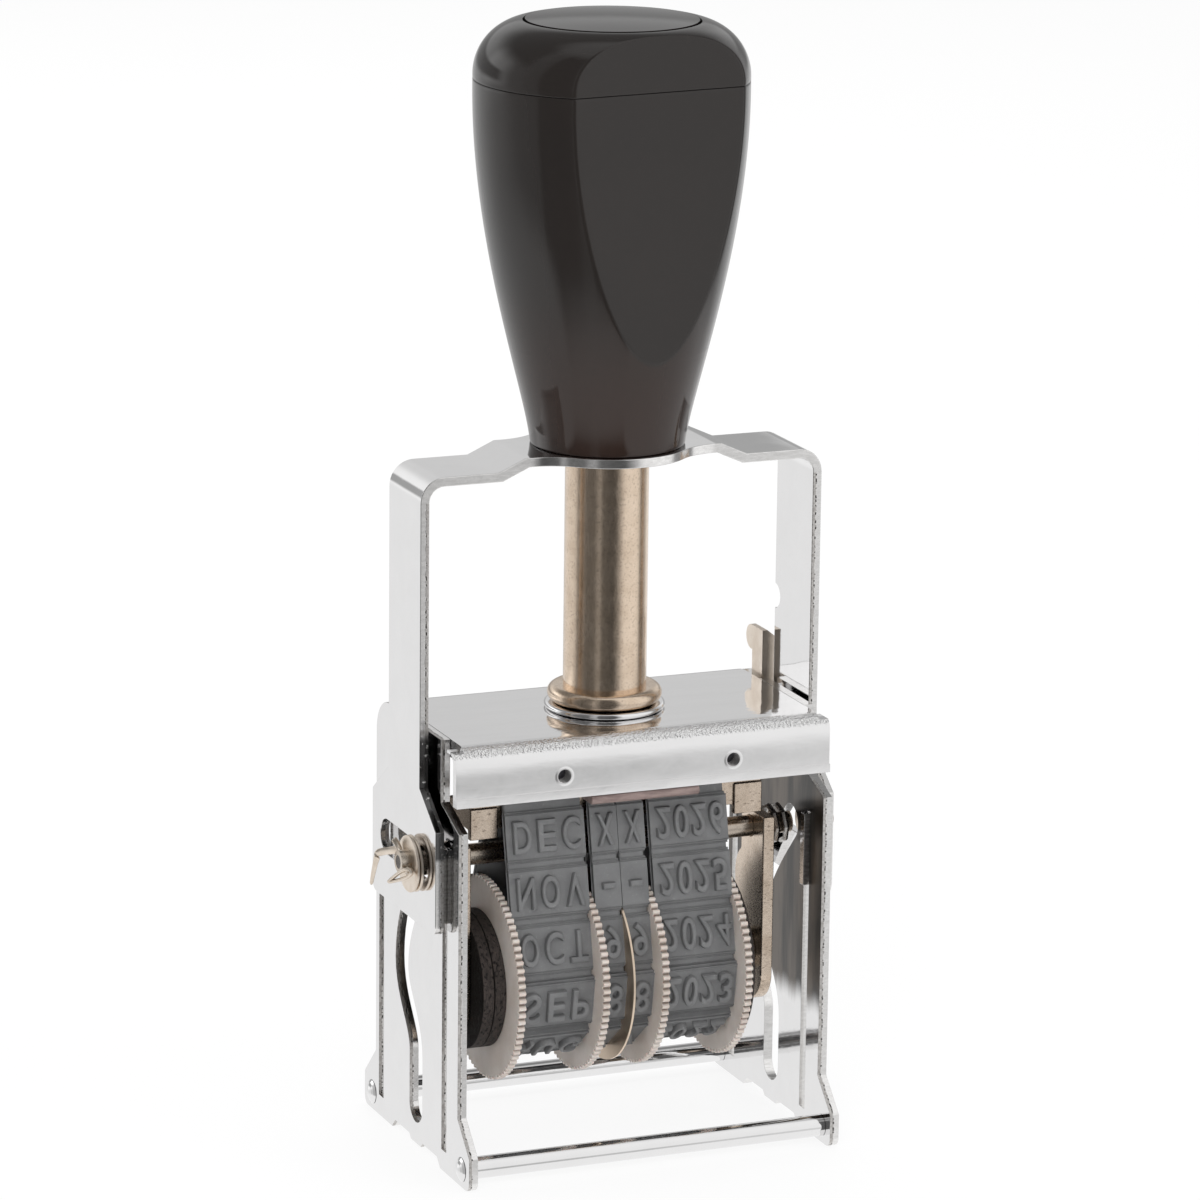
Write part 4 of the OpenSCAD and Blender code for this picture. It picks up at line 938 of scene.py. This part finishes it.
def make_handle():
    length = SEAM_Z - PAD_TOP
    ends = (FOOT_R, PAD_TOP), (FOOT_R + FOOT_LEAN, PAD_TOP + FOOT_PULL * length)
    tops = (GRIP_R + GRIP_LEAN, PAD_TOP + GRIP_PULL * length), (GRIP_R, SEAM_Z)
    curve = [bezier(*ends, *tops, i / 140) for i in range(141)]
    bore = [(NEAR_AXIS, BORE_TOP), (BORE_R, BORE_TOP), (BORE_R, PAD_TOP)]
    foot = arc_points((FOOT_R - FOOT_IN, PAD_TOP + FOOT_ROUND), FOOT_ROUND, -90, 0, 6)
    side = [q for q in curve if PAD_TOP + FOOT_ROUND + 0.1 < q[1] < SEAM_Z - BEND]
    lip = arc_points((GRIP_R - BEND, SEAM_Z - BEND), BEND, 0, 90, 4)
    grip = [(r, z, None) for r, z in bore + foot] + [(r, z, FACET_IN) for r, z in side]
    grip += [(r, z, FACET_IN - GRIP_R + r) for r, z in lip] + [(NEAR_AXIS, SEAM_Z, None)]
    turned("handle_grip", "handle_body", grip)
    low, floor = SEAM_Z + SEAM_GAP, CAP_TOP - POCKET_T
    skirt = arc_points((GRIP_R - BEND, low + BEND), BEND, -90, 0, 4)
    crown = arc_points((GRIP_R - CAP_ROUND, CAP_TOP - CAP_ROUND), CAP_ROUND, 0, CAP_ARC, 60)
    rim = arc_points((POCKET_R + RIM_ROUND, CAP_TOP - RIM_DROP), RIM_ROUND, CAP_ARC, 180, 5)
    rim += [(POCKET_R, floor), (NEAR_AXIS, floor)]
    cap = [(r, z, FACET_IN - GRIP_R + r) for r, z in skirt] + [(r, z, FACET_IN) for r, z in crown]
    turned("handle_crown", "handle_cap", cap + [(r, z, None) for r, z in rim])


# Split pin through the axle's left tip

PATH_STEPS, LOOP_STEPS = 8, 40
END_SHARE = 0.55


def smooth_path(points):
    """A smooth curve through points."""
    pts = [Vector(p) for p in points]
    pts = [2 * pts[0] - pts[1]] + pts + [2 * pts[-1] - pts[-2]]
    out = []
    for a, b, c, d in zip(pts, pts[1:], pts[2:], pts[3:]):
        for k in range(PATH_STEPS):
            t = k / PATH_STEPS
            square = (2 * a - 5 * b + 4 * c - d) * t * t
            cube = (3 * b - a - 3 * c + d) * t ** 3
            out.append(0.5 * (2 * b + (c - a) * t + square + cube))
    return out + [pts[-2]]


def sweep(bm, path, wide, thick, guide, closed=False, taper=1.0, sides=16):
    """A rod of oval section along a path; guide is the direction of its wide side."""
    n = len(path)
    rings = []
    for k, p in enumerate(path):
        after, before = ((k + 1) % n, k - 1) if closed else (min(k + 1, n - 1), max(k - 1, 0))
        ahead = path[after] - path[before]
        side = ahead.cross(Vector(guide)).normalized()
        up = side.cross(ahead).normalized()
        ends = 1.0 if closed or 0 < k < n - 1 else END_SHARE
        turn = [2 * math.pi * i / sides for i in range(sides)]
        slim = 1 - (1 - taper) * max(0.0, k / (n - 1) - 0.5) * 2
        spots = [p + ends * (slim * wide * math.cos(a) * up + thick * math.sin(a) * side) for a in turn]
        rings.append([bm.verts.new(q * MM) for q in spots])
    skin(bm, rings, closed)
    if not closed:
        bm.faces.new(list(reversed(rings[0])))
        bm.faces.new(rings[-1])


def make_split_pin():
    """Shank through the axle, a long bent blade, its short twin, and the eye behind a neck."""
    bm = bmesh.new()
    shank = [(-32.8, -3.7, 46.1), (-32.8, -5.5, 45.1), (-32.8, -7.3, 44.1)]
    sweep(bm, smooth_path(shank), 0.48, 0.48, (1, 0, 0))
    blade = [(-32.8, -4.3, 45.8), (-33.0, -3.2, 46.1), (-33.6, -2.1, 45.8), (-34.5, -1.0, 45.4)]
    blade += [(-34.85, -0.5, 44.95), (-34.95, 0.1, 43.8), (-35.0, 1.0, 41.8), (-35.0, 1.9, 39.8)]
    sweep(bm, smooth_path(blade), 0.62, 0.2, (0.1, -0.5, 0.85), taper=0.4)
    twin = [(-32.8, -4.3, 45.8), (-32.75, -3.3, 46.5), (-32.9, -2.8, 47.1), (-33.3, -2.6, 47.7)]
    sweep(bm, smooth_path(twin), 0.46, 0.24, (1, 0, 0))
    neck = [(-32.8, -6.9, 44.3), (-32.9, -8.3, 44.0), (-33.2, -9.3, 44.4)]
    sweep(bm, smooth_path(neck), 0.42, 0.36, (1, 0, 0))
    wide, tip = Vector((-33.2, -9.5, 44.8)), Vector((-35.1, -5.8, 42.4))
    across = Vector((0.35, -0.3, -0.85))
    eye = []
    for k in range(LOOP_STEPS):
        a = 2 * math.pi * k / LOOP_STEPS
        half = 0.8 * math.sin(a) * (0.62 + 0.38 * math.cos(a))
        eye.append(wide + (tip - wide) * (0.5 - 0.5 * math.cos(a)) + across * half)
    sweep(bm, eye, 0.46, 0.26, (-0.6, -0.7, 0.2), closed=True)
    o = new_piece(bm, "split_pin", WARM)
    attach(o, "axle")
    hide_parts("cotter_pin")


# Washers on the axle's left tip: thin and loose. Each has its place along X, its sag and its lean.

WASHERS = [(-31.42, 0.42, -0.022), (-32.02, 0.45, 0.016)]
WASHER_R, WASHER_HOLE, WASHER_T = 4.1, 1.78, 0.42
WASHER_ROUND, HOLE_ROUND, WASHER_STEPS = 0.12, 0.1, 96


def make_washers():
    bm = bmesh.new()
    rim = WASHER_R - WASHER_ROUND, WASHER_T / 2 - WASHER_ROUND
    hole = WASHER_HOLE + HOLE_ROUND, WASHER_T / 2 - HOLE_ROUND
    section = arc_points(rim, WASHER_ROUND, 0, 90, 3) + arc_points(hole, HOLE_ROUND, 90, 180, 3)
    section += [(r, -u) for r, u in reversed(section)]
    for x, sag, lean in WASHERS:
        rings = []
        for k in range(WASHER_STEPS):
            a = 2 * math.pi * k / WASHER_STEPS
            c, q = math.cos(a), math.sin(a)
            ring = [(x + u + lean * r * q, AXLE_Y + r * c, AXLE_Z - sag + r * q) for r, u in section]
            rings.append([bm.verts.new(Vector(v) * MM) for v in ring])
        skin(bm, rings, closed=True)
    o = new_piece(bm, "thin_washers", WARM, sharp=40)
    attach(o, "axle")
    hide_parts("axle_washers")


# Return spring in the tube and the handle

COIL_R, COIL_WIRE, COIL_SIDES = 4.3, 0.5, 10
COIL_TURNS, COIL_STEPS = 16, 20
CLOSED_PITCH = 2.1 * COIL_WIRE


def make_coil():
    """The return spring with closed ends."""
    spots = [Vector(v) / MM for v in NODES["return_spring"].bound_box]
    low, high = min(v.z for v in spots), max(v.z for v in spots)
    start, rise = low + COIL_WIRE, high - low - 2 * COIL_WIRE
    path = []
    for k in range(COIL_TURNS * COIL_STEPS + 1):
        t = k / COIL_STEPS
        opened = min(max(t - 1, 0.0), COIL_TURNS - 2.0)
        share = opened / (COIL_TURNS - 2)
        z = start + CLOSED_PITCH * (t - opened) + (rise - 2 * CLOSED_PITCH) * share
        path.append(Vector((COIL_R * math.cos(2 * math.pi * t), COIL_R * math.sin(2 * math.pi * t), z)))
    bm = bmesh.new()
    sweep(bm, path, COIL_WIRE, COIL_WIRE, (0, 0, 1), sides=COIL_SIDES)
    o = new_piece(bm, "return_coil", SPRING)
    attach(o, "frame")
    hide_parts("return_spring")
    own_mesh(o)


# CAD nodes: better materials, and soft edges

SOFT_SEGMENTS, SOFT_OVER, FLAT_UNDER, WELD_UNDER = 2, 32, 0.5, 2e-6


def dress(names, mat, bevel=0.0):
    """Gives CAD nodes a material and, where bevel is set, rounded edges of that many millimetres."""
    for name in names:
        o = NODES[name]
        o.data.materials.clear()
        o.data.materials.append(mat)
        if bevel:
            soften(o, bevel)


def soften(o, bevel):
    """Rounds the edges of a CAD node with modifiers; its mesh stays as it is."""
    bpy.context.view_layer.objects.active = o
    bpy.ops.mesh.customdata_custom_splitnormals_clear()
    o.data.shade_smooth()
    weld = o.modifiers.new("weld", "WELD")
    weld.merge_threshold = WELD_UNDER
    flat = o.modifiers.new("flat", "DECIMATE")
    flat.decimate_type = "DISSOLVE"
    flat.angle_limit = math.radians(FLAT_UNDER)
    soft = o.modifiers.new("soft", "BEVEL")
    soft.width = bevel * MM
    soft.segments = SOFT_SEGMENTS
    soft.limit_method = "ANGLE"
    soft.angle_limit = math.radians(SOFT_OVER)
    soft.harden_normals = True
    soft.miter_outer = "MITER_ARC"


# The scene

make_camera()
make_world()
make_floor()
make_lamps()

RUBBER = rubber()
FELT = felt()
WARM = nickel("nickel_warm", (0.84, 0.75, 0.65), (0.73, 0.63, 0.53),
              rough=(0.32, 0.44), grain=(1, 1, 0.3), speckle=0.06, relief=0.05)
SATIN = nickel("nickel_satin", (0.78, 0.635, 0.50), (0.67, 0.535, 0.41),
               rough=(0.16, 0.27), grain=(1, 1, 0.25), speckle=0.3)
STEEL = nickel("nickel_steel", (0.62, 0.55, 0.47), (0.46, 0.40, 0.34))
BLACK = handle_plastic()
IVORY = nylon()
FIBRE = fibre()
SPRING = spring_steel()

dress(["left_side_plate", "right_side_plate"], plate_chrome(), bevel=0.16)
dress(["strap_yoke"], strap_chrome(), bevel=0.18)
dress(["top_channel"], channel_chrome(), bevel=0.26)
dress(["front_tie_bar", "rear_tie_bar", "tube_washer"], chrome())
dress(["pad_tray"], tray_plastic(), bevel=0.15)
dress(["spring_tube"], SATIN)
dress(["lock_latch"], WARM, bevel=0.15)
dress(["latch_pin", "handle_screws", "block_axle", "wheel_shaft"], STEEL)
dress(["axle_ends"], centred_steel(), bevel=0.25)
dress(["left_cheek", "right_cheek", "platen_bridge"], torn_nickel(), bevel=0.2)
dress(["handle_top_disc"], BLACK)
dress(["torsion_spring"], SPRING)
dress(["left_friction_discs", "right_friction_disc"], FIBRE, bevel=0.15)
dress(["divider_disc"], brass())
dress(["month_wheel", "tens_wheel", "units_wheel", "year_wheel"], IVORY, bevel=0.1)

make_band("month_band", MONTHS, pitch=3.75, width=2.75)
make_band("tens_band", DAYS, pitch=0, width=2.5)
make_band("units_band", DAYS, pitch=0, width=2.5)
make_band("year_band", YEARS, pitch=2.75, width=2.2)
make_pad()
make_handle()
make_split_pin()
make_washers()
make_coil()
